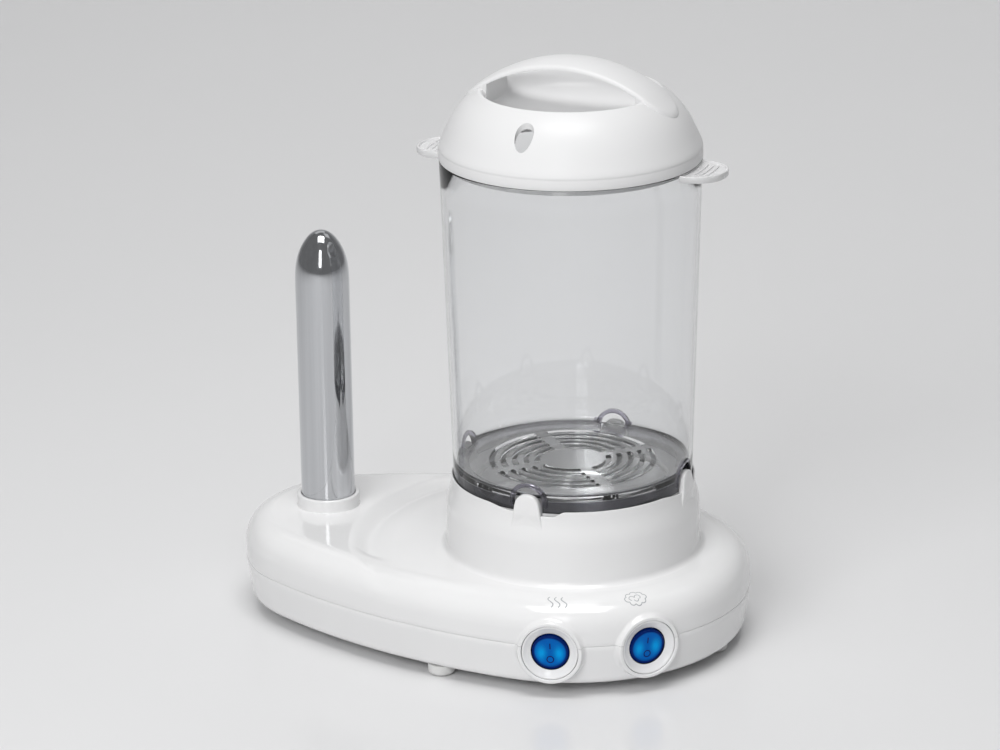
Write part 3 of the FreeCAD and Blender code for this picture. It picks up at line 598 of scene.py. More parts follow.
top = make("upper_cover", verts, faces, M["white_gloss"], "base", "white_gloss", ["base_top_cover"], angle=40)


# ------------------------------------------------------------------ lower cover
def bottom_inset(z):
    """Inset of the lower cover's wall at height z."""
    if z >= 7.0:
        return 2.5 * (24.1 - z) / 17.1 if z < 24.1 else 0.0
    return 7.4 - math.sqrt(max(BR * BR - (z - BC[1]) ** 2, 0)) + (BC[0] - 7.4)


# circle through (7.4, 2.0), (3.9, 3.5) and (2.5, 7.0), as (inset, height)
_p = [np.array(q, float) for q in ((7.4, 2.0), (3.9, 3.5), (2.5, 7.0))]
_A = np.array([2 * (_p[1] - _p[0]), 2 * (_p[2] - _p[0])])
BC = np.linalg.solve(_A, np.array([_p[1] @ _p[1] - _p[0] @ _p[0], _p[2] @ _p[2] - _p[0] @ _p[0]]))
BR = float(np.linalg.norm(_p[0] - BC))
a0 = math.degrees(math.atan2(*(_p[2] - BC)[::-1]))
a1 = math.degrees(math.atan2(*(_p[0] - BC)[::-1])) % 360
bot_rows = [(0.5, 24.5), (0.14, 24.38), (0.0, 24.05)] + [(2.5 * (24.1 - z) / 17.1, z) for z in (21.0, 17.5, 14.0, 10.5)]
bot_rows += arc(BC[0], BC[1], BR, a0 % 360, a1, 12)
cols = []
for ang, (p, n) in zip(ANG, OUT):
    col = [(*(p + n * d), z) for d, z in bot_rows]
    q = np.array(col[-1][:2]) - (XC, 0)
    for f in (0.93, 0.8, 0.6, 0.4, 0.2, 0.06):
        col.append((XC + q[0] * f, q[1] * f, Z_FOOT))
    for f in (0.06, 0.2, 0.4, 0.6, 0.8, 0.93, 0.975):
        col.append((XC + q[0] * f, q[1] * f, Z_FOOT + WALL))
    for d, z in ((6.2, 5.9), (5.0, 8.6), (3.5, 16.0), (2.6, 24.5)):
        pt = p + n * d
        col.append((pt[0], pt[1], z))
    cols.append(col)
G = np.array(cols)
rows = G.shape[1]
verts = G.reshape(-1, 3)
faces = [(j * rows + k, j * rows + (k + 1) % rows, ((j + 1) % COLS) * rows + (k + 1) % rows, ((j + 1) % COLS) * rows + k)
         for j in range(COLS) for k in range(rows)]
# the two flat skins end in small rings; close each with a cap
k0 = len(bot_rows) + 5
faces = [f for f in faces if not (f[0] % rows == k0)]
faces.append([j * rows + k0 for j in range(COLS)])
faces.append([j * rows + k0 + 1 for j in range(COLS)])
bottom = make("lower_cover", verts, faces, M["white_gloss"], "base", "white_gloss", ["base_bottom_cover"], angle=40)
SCREWS = [(XC + 78 * math.sin(math.radians(125)), -78 * math.cos(math.radians(125))), (XC + 80 * math.sin(math.radians(75)), -80 * math.cos(math.radians(75))),
          (-20.0, 75.0), (-20.0, -75.0), (-112.0, 30.0), (-112.0, -30.0)]


def cylinder(x, y, z0, z1, r, n=48):
    v = [(x + r * math.cos(2 * math.pi * k / n), y + r * math.sin(2 * math.pi * k / n), z) for z in (z0, z1) for k in range(n)]
    f = [list(range(n))[::-1], list(range(n, 2 * n))] + [(k, (k + 1) % n, n + (k + 1) % n, n + k) for k in range(n)]
    return v, f


def joined(shapes):
    verts, faces = [], []
    for v, f in shapes:
        b = len(verts)
        verts += list(v)
        faces += [[i + b for i in q] for q in f]
    return verts, faces


boolean(bottom, cutter(*joined([cylinder(x, y, -5, 9, 3.6) for x, y in SCREWS])))


def ring_solid(x, y, pts, n=48):
    return revolve(pts, n, x, y)


merge(bottom, [ring_solid(x, y, [(3.6, 1.99), (5.6, 2.3), (5.6, 16.0), (1.9, 16.0), (1.9, 15.0), (3.6, 15.0)]) for x, y in SCREWS])

# ------------------------------------------------------------------ switch seats
def sw_frame(side):
    a = math.radians(SW_ANG[side])
    o = np.array([XC + SW_R * math.sin(a), -SW_R * math.cos(a), SW_Z])
    return o, np.array([math.cos(a), math.sin(a), 0.0]), np.array([0, 0, 1.0]), np.array([math.sin(a), -math.cos(a), 0.0])


def sw_put(side, pts):
    o, ex, ey, ez = sw_frame(side)
    p = np.array(pts, float)
    return o + p[:, :1] * ex + p[:, 1:2] * ey + p[:, 2:3] * ez


def wall_h(x, y):
    """How far the covers' wall stands out, in the frame of a switch."""
    z = SW_Z + y
    if z >= 32.3:
        d = 14.05 - math.sqrt(max(14.05 ** 2 - (z - 32.3) ** 2, 0))
    elif z >= 24.1:
        d = 0.0
    else:
        d = bottom_inset(max(z, 2.05))
    r = CAP_R - d
    return math.sqrt(r * r - x * x) - SW_R


def seat_ring(n=180):
    """Raised rim: rings from the pocket's inside over the rim to a flare that runs out into the wall."""
    verts, faces = [], []
    prof_n = 0
    for k in range(n):
        a = 2 * math.pi * k / n
        c, s = math.cos(a), math.sin(a)
        low = max(0.0, -s) ** 3
        ro = 18.9 - 1.75 * low
        pts = [(14.85, -3.4), (14.85, 0.55)] + [(14.85 + 0.45 * (1 - math.cos(t)), 0.55 + 0.45 * math.sin(t)) for t in np.linspace(0, math.pi / 2, 5)[1:]]
        pts += [(15.8, 1.0), (16.2, 1.0)] + [(16.2 + 0.55 * math.sin(t), 0.45 + 0.55 * math.cos(t)) for t in np.linspace(0, math.radians(70), 5)[1:]]
        r0, h0 = pts[-1]
        for t in np.linspace(0, 1, 9)[1:]:
            r = r0 + (ro - r0) * t
            hw = wall_h(r * c, r * s)
            f = (1 - t) ** 2.6
            pts.append((r, hw - 0.0 + (h0 - hw) * f if t < 1 else hw - 0.02))
        hw = wall_h((ro + 0.5) * c, (ro + 0.5) * s)
        pts.append((ro + 0.5, hw - 0.25))
        pts.append((ro + 0.3, hw - 1.2))
        pts.append((15.6, -5.5))
        prof_n = len(pts)
        verts += [(r * c, r * s, h) for r, h in pts]
    for k in range(n):
        k2 = (k + 1) % n
        for i in range(prof_n):
            j = (i + 1) % prof_n
            faces.append((k * prof_n + i, k2 * prof_n + i, k2 * prof_n + j, k * prof_n + j))
    return verts, faces


def half(side, z0, keep_above):
    """The seat ring of one switch, cut at the parting line."""
    v, f = seat_ring()
    v = sw_put(side, v)
    bm = bmesh.new()
    vs = [bm.verts.new(q) for q in v]
    for q in f:
        bm.faces.new([vs[i] for i in q])
    bmesh.ops.recalc_face_normals(bm, faces=bm.faces)
    geom = bm.verts[:] + bm.edges[:] + bm.faces[:]
    res = bmesh.ops.bisect_plane(bm, geom=geom, plane_co=(0, 0, z0), plane_no=(0, 0, 1), clear_outer=not keep_above, clear_inner=keep_above)
    edges = [e for e in res["geom_cut"] if isinstance(e, bmesh.types.BMEdge)]
    bmesh.ops.holes_fill(bm, edges=edges, sides=0)
    bmesh.ops.triangulate(bm, faces=[q for q in bm.faces if len(q.verts) > 4])
    bm.verts.index_update()
    out = [tuple(q.co) for q in bm.verts], [[q.index for q in g.verts] for g in bm.faces]
    bm.free()
    return out


def disc_cut(side, r, h0, h1, n=96):
    v = [(r * math.cos(2 * math.pi * k / n), r * math.sin(2 * math.pi * k / n), h) for h in (h0, h1) for k in range(n)]
    f = [list(range(n))[::-1], list(range(n, 2 * n))] + [(k, (k + 1) % n, n + (k + 1) % n, n + k) for k in range(n)]
    return [tuple(q) for q in sw_put(side, v)], f


for ob in (top, bottom):
    boolean(ob, cutter(*joined([disc_cut(s, 15.7, -16, 8) for s in SW_ANG])))
merge(top, [half(s, Z_PART + 0.12, True) for s in SW_ANG])
merge(bottom, [half(s, Z_PART - 0.12, False) for s in SW_ANG])


# ------------------------------------------------------------------ fins on the collar
def fin(k):
    """Rounded upright tab; s runs round its arch, each row is one level of its thickness."""
    zb, zt = 76.0, 95.1
    hw = spline([(10.2, 74.5), (9.1, 77.5), (8.2, 80.5), (7.5, 84.5), (7.0, 88.2), (6.0, 91.6), (3.8, 94.1), (0.0, 95.1)], (-0.6, 1), (-1, 0), 5)
    side = hw[:-1] + [(-a, b) for a, b in hw[::-1]]
    m = len(side)

    def ro(z):
        if z < 85.0:
            return collar_r(z) - 0.25 + 1.25 * float(smooth((z - 76.0) / 9.0))
        return float(np.interp(z, [85.0, 95.1], [65.74, 65.0]))

    def ri(z):
        return float(np.interp(z, [76.0, 84.0, 95.1], [59.6, 59.8, 62.6]))
    rings = []
    edge = 0.75
    c0 = np.array([0.0, 84.0])
    steps = [(0.0, 1.0, 0)] + [(edge * (1 - math.cos(t)), 0.0, edge * (1 - math.sin(t))) for t in np.linspace(0, math.pi / 2, 6)]
    # outer face: from the middle out, then round the edge, then the inner face
    for f in (0.0, 0.5, 0.8):
        rings.append([(q * f, c0[1] + (z - c0[1]) * f, 'o', 0.0) for q, z in side])
    for t in np.linspace(0, math.pi / 2, 6):
        rings.append([(q, z, 'o', t) for q, z in side])
    rings.append([(q, z, 'i', 0.0) for q, z in side])
    for f in (0.8, 0.0):
        rings.append([(q * f, c0[1] + (z - c0[1]) * f, 'i', 0.0) for q, z in side])
    verts = []
    a0 = math.radians(90 * k)
    for ring in rings:
        for q, z, w, t in ring:
            if w == 'o':
                d = edge * (1 - math.cos(t))
                inset = edge * (1 - math.sin(t))
                v = np.array([q, z - 84.0])
                ln = np.linalg.norm(v)
                if ln > 1e-6:
                    v = v * max(0.0, (ln - inset) / ln) if t > 0 or ln > edge else v
                q2, z2 = v[0], v[1] + 84.0
                r = ro(z2) - d + 0.2
            else:
                q2, z2 = q, z
                r = ri(z2)
            x, y = math.sqrt(r * r - q2 * q2), q2
            X = XC + x * math.cos(a0) - y * math.sin(a0)
            Y = x * math.sin(a0) + y * math.cos(a0)
            verts.append((X, Y, z2))
    faces = []
    nr = len(rings)
    for i in range(nr - 1):
        for j in range(m):
            j2 = (j + 1) % m
            faces.append((i * m + j, i * m + j2, (i + 1) * m + j2, (i + 1) * m + j))
    return verts, faces


merge(top, [fin(k) for k in range(4)])
for ob, ang in ((top, 40), (bottom, 40)):
    clean_axis(ob)
    shade(ob.data, ang)


# ------------------------------------------------------------------ feet
def foot(x, y):
    pts = [(0.01, -4.0), (4.4, -4.0)] + [(4.4 + 2.8 * math.sin(t), -1.6 - 2.4 * math.cos(t)) for t in np.linspace(0, math.pi / 2, 8)[1:]] + [(7.2, 2.0), (2.5, 2.0), (2.5, 5.8), (0.01, 5.8)]
    return revolve(pts, 64, x, y)


FEET = [(126.6, 0.0), (4.0, -80.5), (4.0, 80.5), (-122.5, 0.0)]
feet = make("feet", *joined([foot(x, y) for x, y in FEET]), M["foot_white"], "base", "foot_white", ["base_feet"])


# ------------------------------------------------------------------ bezels, rockers and their marks
def sw_revolve(side, pts, n=144):
    v, f = [], []
    m = len(pts)
    for k in range(n):
        a = 2 * math.pi * k / n
        v += [(r * math.cos(a), r * math.sin(a), h) for r, h in pts]
    for k in range(n):
        for i in range(m):
            j = (i + 1) % m
            f.append((k * m + i, ((k + 1) % n) * m + i, ((k + 1) % n) * m + j, k * m + j))
    return sw_put(side, v), f


bez_pts = [(10.15, -2.1), (14.0, -2.1), (14.0, -3.0), (14.62, -3.0), (14.62, 0.0), (14.5, 0.28), (14.25, 0.38), (13.9, 0.30)]
bez_pts += spline([(13.9, 0.30), (13.2, -0.15), (12.2, -0.85), (11.2, -1.35), (10.5, -1.62)], (-1, -0.35), (-1, -0.25), 4)[1:] + [(10.25, -1.75), (10.15, -1.9)]
TILT = math.radians(8.0)


def rock_h(x, y):
    r = math.hypot(x, y)
    h = -1.55 + y * y / 130.0
    if r > 8.7:
        h -= 0.95 - math.sqrt(max(0.95 ** 2 - (r - 8.7) ** 2, 0))
    return h


def rock_tip(p):
    """The rocker at rest: level shape tipped about its trunnions, lower half in."""
    x, y, h = p
    c, s = math.cos(TILT), math.sin(TILT)
    v, w = y, h + 4.0
    return (x, v * c - w * s, v * s + w * c - 4.0)


def rocker(side, n=128):
    v, f = [(0, 0, rock_h(0, 0))], []
    radii = [1.2, 2.6, 4.0, 5.4, 6.8, 7.8, 8.4, 8.7, 8.95, 9.2, 9.4, 9.55, 9.62]
    rings = [[(r * math.cos(2 * math.pi * k / n), r * math.sin(2 * math.pi * k / n)) for k in range(n)] for r in radii]
    for ring in rings:
        v += [(x, y, rock_h(x, y)) for x, y in ring]
    for h in (-3.2, -4.6, -6.3):
        v += [(9.55 / 9.62 * x, 9.55 / 9.62 * y, h) for x, y in rings[-1]]
    v.append((0, 0, -6.3))
    for k in range(n):
        f.append((0, 1 + k, 1 + (k + 1) % n))
    nr = len(radii) + 3
    for i in range(nr - 1):
        for k in range(n):
            k2 = (k + 1) % n
            f.append((1 + i * n + k, 1 + i * n + k2, 1 + (i + 1) * n + k2, 1 + (i + 1) * n + k))
    last = 1 + (nr - 1) * n
    for k in range(n):
        f.append((len(v) - 1, last + k, last + (k + 1) % n))
    return sw_put(side, [rock_tip(p) for p in v]), f


def strip(line, width, surf, closed=False, up=0.05, down=0.12):
    """Thin raised line along 2D points on a surface: surf(u, v, h) gives the place in space."""
    p = np.array(line, float)
    m = len(p)
    if closed:
        t = np.roll(p, -1, 0) - np.roll(p, 1, 0)
    else:
        t = np.gradient(p, axis=0)
    t /= np.linalg.norm(t, axis=1, keepdims=True)
    nrm = np.stack([-t[:, 1], t[:, 0]], 1) * width / 2
    v, f = [], []
    for i in range(m):
        a, b = p[i] - nrm[i], p[i] + nrm[i]
        v += [surf(*a, -down), surf(*a, up * 0.6), surf(*(a * 0.8 + b * 0.2), up), surf(*(a * 0.2 + b * 0.8), up), surf(*b, up * 0.6), surf(*b, -down)]
    for i in range(m if closed else m - 1):
        j = (i + 1) % m
        for k in range(6):
            k2 = (k + 1) % 6
            f.append((i * 6 + k, j * 6 + k, j * 6 + k2, i * 6 + k2))
    if not closed:
        f.append(tuple(range(6)))
        f.append(tuple(range((m - 1) * 6 + 5, (m - 1) * 6 - 1, -1)))
    return v, f


def glow(ob, side):
    """How strongly the lamp shows through each point of a rocker cap."""
    o, ex, ey, ez = sw_frame(side)
    at = ob.data.color_attributes.new("glow", "FLOAT_COLOR", "POINT")
    for i, vert in enumerate(ob.data.vertices):
        q = np.array(vert.co) * 1000 - (0, 0, LIFT) - o
        x, y = float(q @ ex), float(q @ ey)
        r = math.hypot(x, y)
        v = 0.42 + 0.62 * math.exp(-((abs(x) - 4.6) / 2.2) ** 2 - ((y + 0.6) / 3.6) ** 2)
        v *= 1.0 - float(smooth((r - 7.6) / 1.1))
        at.data[i].color = (v, v, v, 1.0)


for side in SW_ANG:
    make("dish_ring_" + side, *sw_revolve(side, bez_pts), M["white_bezel"], "base", "white_bezel", ["bezel_" + side], angle=50)
    cap = make("rocker_cap_" + side, *rocker(side), M["rocker_blue"], "rocker_" + side, "rocker_blue", ["rocker_" + side], angle=50)
    glow(cap, side)

    def on_rocker(u, v, h, side=side):
        return tuple(sw_put(side, [rock_tip((u, v, rock_h(u, v) + h))])[0])
    bar = strip([(0, 2.1 + 3.4 * t) for t in np.linspace(0, 1, 9)], 0.62, on_rocker)
    ring = strip([(1.75 * math.cos(t), -4.0 + 1.75 * math.sin(t)) for t in np.linspace(0, 2 * math.pi, 49)[:-1]], 0.55, on_rocker, True)
    make("on_mark_" + side, *bar, M["mark_navy"], "rocker_" + side, "rocker_blue")
    make("off_mark_" + side, *ring, M["mark_navy"], "rocker_" + side, "rocker_blue")


# ------------------------------------------------------------------ pictograms on the front edge
def on_edge(a0, r0):
    def f(u, v, h):
        r = r0 - v
        a = math.radians(a0 + math.degrees(u / r0))
        z = low_z(CAP_R - r)
        d = 0.05
        slope = (low_z(CAP_R - r + d) - low_z(CAP_R - r - d)) / (2 * d)
        nx = slope / math.hypot(1, slope)
        nz = 1 / math.hypot(1, slope)
        rr = r + nx * h
        return (XC + rr * math.sin(a), -rr * math.cos(a), z + nz * h)
    return f


waves = []
for k in (-1, 0, 1):
    pts = []
    for t in np.linspace(-1, 1, 33):
        pts.append((3.5 * k - 1.05 * math.sin(t * math.pi * 1.05) - 1.0 * t, 3.7 * t))
    waves.append(strip(pts, 0.5, on_edge(16.0, 84.7), up=0.06))
make("heat_waves", *joined(waves), M["mark_grey"], "base", "white_gloss")

puffs = [(-4.2, -0.4, 1.7), (-2.9, 1.9, 1.7), (0.0, 2.9, 1.9), (3.0, 2.2, 1.7), (4.5, 0.1, 1.6), (3.2, -2.0, 1.6), (0.6, -2.8, 1.7), (-2.2, -2.4, 1.6)]
ray = []
for t in np.linspace(0, 2 * math.pi, 145)[:-1]:
    d = np.array([math.cos(t), math.sin(t)])
    best = 0.0
    for x, y, r in puffs:
        c = np.array([x, y])
        b = c @ d
        q = b * b - c @ c + r * r
        if q > 0:
            best = max(best, b + math.sqrt(q))
    ray.append(tuple(d * best))
cloud = [strip(ray, 0.42, on_edge(43.6, 85.2), True, up=0.06)]
for cx, cy, r, s0, s1 in ((-1.9, 0.0, 1.5, 20, 250), (1.3, 0.5, 1.5, -60, 190), (0.2, -1.1, 1.1, 180, 380)):
    cloud.append(strip([(cx + r * math.cos(math.radians(a)), cy + r * math.sin(math.radians(a))) for a in np.linspace(s0, s1, 25)], 0.38, on_edge(43.6, 85.2), up=0.06))
make("steam_cloud", *joined(cloud), M["mark_grey"], "base", "white_gloss")

# ------------------------------------------------------------------ spike and its collar
tip = spline([(14.6, 176.0), (14.2, 184.5), (12.2, 192.8), (8.4, 199.8), (4.0, 203.9), (0.01, 205.0)], (0, 1), (-1, 0), 8)
sp = [(19.0, 45.4), (19.0, 47.4), (14.6, 47.4), (14.6, 80.0), (14.6, 120.0), (14.6, 160.0)] + tip + [(0.01, 203.5)]
sp += spline([(0.01, 203.5), (2.9, 202.6), (7.4, 198.6), (10.9, 191.9), (12.7, 184.2), (13.1, 176.0)], (1, 0), (0, -1), 5)[1:] + [(13.1, 110.0), (13.1, 45.4)]
spike = make("spike", *revolve(sp, 128, XS), M["spike_chrome"], "base", "spike_chrome", ["spike_tube"])
clean_axis(spike)
shade(spike.data, 40)
sc = [(14.75, 49.0), (17.3, 49.0), (17.1, 49.3), (17.0, 50.5), (17.05, 54.2)]
sc += [(16.2 + 0.85 * math.cos(t), 55.15 + 0.85 * math.sin(t)) for t in np.linspace(0, math.pi / 2, 6)] + [(15.4, 56.0), (14.95, 55.85), (14.75, 55.5)]
make("spike_ring", *revolve(sc, 128, XS), M["white_gloss"], "base", "white_gloss", ["spike_collar"], angle=50)

# ------------------------------------------------------------------ lid
outer_curve = spline([(68.4, 265.0), (66.9, 269.8), (62.3, 279.3), (55.2, 288.8), (48.4, 294.3)], (0, 1), (-1, 0.72), 12)
_c = [np.array(q, float) for q in ((48.4, 294.3), (46.8, 295.0), (45.2, 294.0))]
rim_arc = spline([tuple(q) for q in _c], (-1, 0.72), (-0.5, -0.87), 5)
bowl = spline([(45.2, 294.0), (44.1, 291.2), (42.4, 287.7), (38.4, 284.8), (29.0, 282.9), (0.01, 282.0)], (-0.5, -0.87), (-1, 0), 10)
under = spline([(0.01, 279.8), (29.0, 280.7), (38.8, 282.4), (43.6, 285.2), (45.9, 289.2), (46.8, 292.2)], (1, 0), (0.5, 0.87), 5)
inner_curve = spline([(46.8, 292.2), (53.5, 287.2), (60.3, 278.3), (64.8, 269.2), (66.3, 265.0)], (0.8, -0.6), (0, -1), 6)
lid_pts = [(67.9, 259.7), (68.25, 259.85), (68.4, 260.2), (68.4, 262.0), (68.4, 264.2), (68.25, 264.75), (68.2, 265.05), (68.2, 265.4)] + outer_curve[2:] + rim_arc[1:] + bowl[1:] + under + inner_curve[1:]
lid_pts += [(66.3, 264.0), (63.6, 263.0), (63.6, 256.9), (64.0, 256.5), (65.0, 256.5), (65.4, 256.9), (65.4, 260.0), (66.2, 260.0), (66.2, 259.9)]
lid = make("lid_dome", *revolve(lid_pts, 240), M["white_lid"], "lid", "white_lid", ["lid_shell"], angle=50)
clean_axis(lid)
boolean(lid, cutter(*cylinder(XC - 1.6, -58.5, 266, 300, 4.9, 64)))
shade(lid.data, 30)

lid_top = [(q[0], q[1]) for q in (outer_curve + rim_arc[1:] + bowl[1:])][::-1]
LR, LZ = [q[0] for q in lid_top], [q[1] for q in lid_top]


def lid_z(r):
    return float(np.interp(r, LR, LZ))


def handle():
    R, C, T, HW, E = 84.0, 227.5, 3.6, 14.0, 58.4
    er = 14.09
    xe = E - er
    xs = [E - 0.02, E - 0.3, E - 0.8, E - 1.5, E - 2.4, E - 3.5, E - 5, E - 7, E - 9.5, E - 12.4, 44.6, 43.2, 42.0, 41.3, 41.0, 40.85, 40.3, 39, 37, 33, 29, 25, 21, 17, 13, 9, 4.5, 0.0]
    xs = xs + [-x for x in xs[::-1][1:]]
    nt, ns, nb = 25, 5, 9
    verts, n_loop = [], None
    rd = 1.7
    for x in xs:
        ax = abs(x)
        hw = HW if ax < xe else math.sqrt(max(er * er - (ax - xe) ** 2, 0.01))
        arcz = C + math.sqrt(R * R - x * x)
        # the ends sink towards the dome
        drop = 0.6 * float(smooth((ax - 44.0) / 14.0))

        def ztop(y):
            d = er - math.hypot(ax - xe, y) if ax > xe else HW - abs(y)
            d = max(d, 0.0)
            e = rd - math.sqrt(max(rd * rd - (rd - d) ** 2, 0)) if d < rd else 0.0
            return arcz - drop - 1.5 * (y / HW) ** 2 - e
        loop = []
        for s in np.linspace(-1, 1, nt):
            y = hw * math.sin(s * math.pi / 2)
            loop.append((x, y, ztop(y)))
        leg = ax >= 41.0

        def zbot(y):
            r = math.hypot(ax, y)
            if leg:
                return lid_z(r) - 0.9
            return arcz - T - 0.35 * (1 - (y / HW) ** 2)
        zt = loop[-1][2]
        zb = zbot(hw)
        side = [(x, hw, zt + (zb - zt) * t) for t in np.linspace(0, 1, ns + 2)[1:-1]]
        if not leg:
            side[-1] = (x, hw - 0.25, zb + 0.25)
        loop += side
        bw = hw - (0.7 if not leg else 0.0)
        for s in np.linspace(1, -1, nb):
            y = bw * s
            loop.append((x, y, min(zbot(y), ztop(y) - 0.05)))
        loop += [(a, -b, c) for a, b, c in side[::-1]]
        n_loop = len(loop)
        verts += loop
    faces = []
    for i in range(len(xs) - 1):
        for k in range(n_loop):
            k2 = (k + 1) % n_loop
            faces.append((i * n_loop + k, i * n_loop + k2, (i + 1) * n_loop + k2, (i + 1) * n_loop + k))
    faces.append(tuple(range(n_loop)))
    faces.append(tuple(range(len(xs) * n_loop - 1, (len(xs) - 1) * n_loop - 1, -1)))
    return [(x + XC, y, z) for x, y, z in verts], faces


make("lid_grip", *handle(), M["white_lid"], "lid", "white_lid", ["lid_handle"], angle=38)

# ------------------------------------------------------------------ container
SL = (68.2 - 63.3) / (259.5 - 83.2)


def con(z, t=0.0):
    return 63.3 + (z - 83.2) * SL - t


cp = [(con(83.2, 2.0), 83.2), (con(83.2) - 0.5, 83.2), (con(83.5) - 0.15, 83.35), (con(83.7), 83.7)] + [(con(z), z) for z in (85.6, 88, 92, 97, 110, 130, 160, 190, 220, 245)]
cp += [(con(258.9), 258.9), (con(259.3) - 0.2, 259.3), (con(259.5) - 0.6, 259.5), (con(259.5, 2.0) + 0.4, 259.5), (con(259.5, 2.0), 259.1)]
cp += [(con(z, 2.0), z) for z in (245, 220, 190, 160, 130, 110, 100)]
cp += spline([(con(97.0, 2.0), 97.0), (60.9, 94.9), (58.8, 94.0)], (0, -1), (-1, 0), 5) + [(50.0, 94.0), (30.0, 94.0), (10.0, 94.0), (0.01, 94.0), (0.01, 92.0), (20.0, 92.0), (40.0, 92.0), (55.0, 92.0), (con(92.0, 2.0), 92.0), (con(88.0, 2.0), 88.0)]
box_v, box_f = revolve(cp, 240)
container = make("clear_container", box_v, box_f, M["clear_container"], "container", "clear_container", ["container"], angle=40)
clean_axis(container)


def arch_solid(hw, zt, r0, r1, zb, k, n=20, round_mid=0.0):
    sec = [(-hw, zb), (hw, zb)] + [(hw * math.cos(t), zt - hw + hw * math.sin(t)) for t in np.linspace(0, math.pi, n + 1)]
    a = math.radians(90 * k)
    v = []
    for r in (r0, r1):
        for q, z in sec:
            v.append((XC + r * math.cos(a) - q * math.sin(a), r * math.sin(a) + q * math.cos(a), z))
    m = len(sec)
    f = [list(range(m)), list(range(2 * m - 1, m - 1, -1))] + [(i, (i + 1) % m, m + (i + 1) % m, m + i) for i in range(m)]
    return v, f


hump_body = cutter(*revolve([(0.01, 80), (con(80, 1.0), 80), (con(130, 1.0), 130), (0.01, 130)], 240))
humps = cutter(*joined([arch_solid(10.6, 100.8, 57.2, 66.0, 92.7, k) for k in range(4)]))
boolean(humps, hump_body, "INTERSECT")
boolean(container, humps, "UNION")


def slot_sector(r0, r1, a0, a1, z0, z1):
    n = max(6, int((a1 - a0) / 4))
    sec = [(r0, z0), (r1, z0), (r1, z1), (r0, z1)]
    v = []
    for a in np.linspace(math.radians(a0), math.radians(a1), n + 1):
        v += [(XC + r * math.cos(a), r * math.sin(a), z) for r, z in sec]
    f = [(3, 2, 1, 0), tuple(4 * n + i for i in range(4))]
    for i in range(n):
        for k in range(4):
            k2 = (k + 1) % 4
            f.append((4 * i + k, 4 * i + k2, 4 * i + 4 + k2, 4 * i + 4 + k))
    return v, f


cuts = [arch_solid(8.1, 98.9, 58.8, 75.0, 80.0, k) for k in range(4)]
for r in (19.0, 25.0, 31.0, 37.0, 43.0):
    g = math.degrees(math.asin(3.5 / r))
    for q in range(4):
        cuts.append(slot_sector(r - 1.5, r + 1.5, 90 * q - 45 + g, 90 * q + 45 - g, 90.0, 96.0))
boolean(container, cutter(*joined(cuts)))


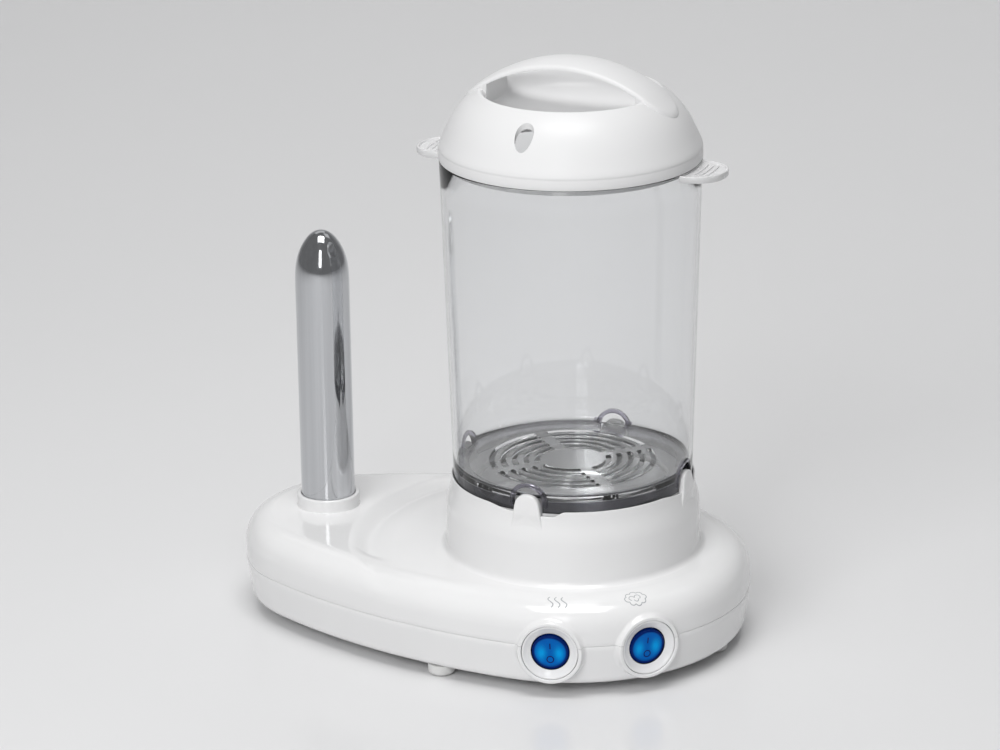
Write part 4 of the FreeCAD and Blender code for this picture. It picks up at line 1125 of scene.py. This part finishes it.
def lug(sgn):
    """D-shaped grip: plate with a raised edge and three concentric grip ribs."""
    half_w = 17.3

    def outline_pts(inset, n=40):
        ax, by = 19.4 - inset, half_w - inset
        x0 = math.sqrt(68.1 ** 2 - by ** 2)
        pts = []
        for t in np.linspace(-math.pi / 2, math.pi / 2, n + 1):
            c = max(math.cos(t), 0.0)
            pts.append((x0 + (ax - (x0 - 65.9)) * c ** 0.75, by * math.sin(t)))
        for t in np.linspace(1, -1, 15)[1:-1]:
            y = by * t
            pts.append((math.sqrt(68.1 ** 2 - y * y) - 0.03, y))
        return pts
    z_lo, z_top, z_in = 255.9, 259.45, 258.6
    rings = [(2.2, z_lo), (0.5, z_lo), (0.0, z_lo + 0.6), (0.0, z_top - 0.5), (0.15, z_top - 0.15), (0.5, z_top), (1.1, z_top), (1.5, z_top - 0.2), (1.8, z_in)]
    m = len(outline_pts(0))
    v = []
    for ins, z in rings:
        v += [(x, y, z) for x, y in outline_pts(ins)]
    f = []
    for i in range(len(rings) - 1):
        for k in range(m - 1):
            f.append((i * m + k, i * m + k + 1, (i + 1) * m + k + 1, (i + 1) * m + k))
        f.append((i * m + m - 1, i * m, (i + 1) * m, (i + 1) * m + m - 1))
    f.append(list(range(m - 1, -1, -1)))
    f.append(list(range((len(rings) - 1) * m, len(rings) * m)))
    v = [(XC + sgn * x, y * sgn, z) for x, y, z in v]
    shapes = [(v, f)]
    for rr in (72.0, 75.0, 78.0):
        pts = []
        for a in np.linspace(-math.radians(8.4 - (rr - 72.0) * 0.2), math.radians(8.4 - (rr - 72.0) * 0.2), 17):
            pts.append((rr * math.cos(a), rr * math.sin(a)))
        s = strip(pts, 1.3, lambda u, w, h: (u, w, z_in + h), up=0.55, down=0.3)
        shapes.append(([(XC + sgn * x, y * sgn, z) for x, y, z in s[0]], s[1]))
    return joined(shapes)


lugs = joined([lug(1), lug(-1)])
lug_ob = make("grip_lugs", *lugs, M["lug_clear"], "container", "clear_container", angle=40)


def arch_band(k):
    """Raised rim of the container round the niche for fin k, in clear plastic tinted dark as painted shade."""
    zc = 90.8
    path = [(1, None, z) for z in (88.6, 89.7)] + [(0, t, None) for t in np.linspace(0, math.pi, 37)] + [(-1, None, z) for z in (89.7, 88.6)]
    sec = [(8.2, -2.6), (8.2, 0.0), (8.32, 0.28), (8.6, 0.4), (9.9, 0.4), (10.18, 0.28), (10.3, 0.0), (10.3, -2.6)]
    a = math.radians(90 * k)
    v = []
    for sgn, t, z0 in path:
        for rho, d in sec:
            q, z = (rho * math.cos(t), zc + rho * math.sin(t)) if t is not None else (sgn * rho, z0)
            r = con(z) + d
            x = math.sqrt(r * r - q * q)
            v.append((XC + x * math.cos(a) - q * math.sin(a), x * math.sin(a) + q * math.cos(a), z))
    m, n = len(sec), len(path)
    f = [(i * m + j, i * m + (j + 1) % m, (i + 1) * m + (j + 1) % m, (i + 1) * m + j) for i in range(n - 1) for j in range(m)]
    f += [list(range(m)), list(range(n * m - 1, (n - 1) * m - 1, -1))]
    return v, f


arch_ob = make("container_arches", *joined([arch_band(k) for k in range(4)]), M["arch_clear"], "container", "clear_container", angle=40)
me = container.data
me.materials.append(M["ring_clear"])
me.materials.append(M["hump_clear"])
me.materials.append(M["lug_clear"])
# Painted shade: faces of the foot ring (index 1) and of the humps (index 2) get the dark tints; the lowest band of the
# foot (index 3) gets the whitish lug plastic.
for p in me.polygons:
    c = p.center * 1000
    z = c.z - LIFT
    r = math.hypot(c.x - XC, c.y)
    a = math.degrees(math.atan2(c.y, c.x - XC)) % 90.0
    a = math.radians(min(a, 90.0 - a)) * r
    if z < 93.2 and r > 57.5:
        p.material_index = 1 if z > 85.0 else 3
    elif z < 101.5 and r > 56.9 and a < 10.9 and abs(p.normal.z) < 0.98 and r < 62.8 and (r < 61.0 or abs(p.normal.x * (c.x - XC) + p.normal.y * c.y) < 0.9 * r):
        p.material_index = 2
shade(container.data, 40)
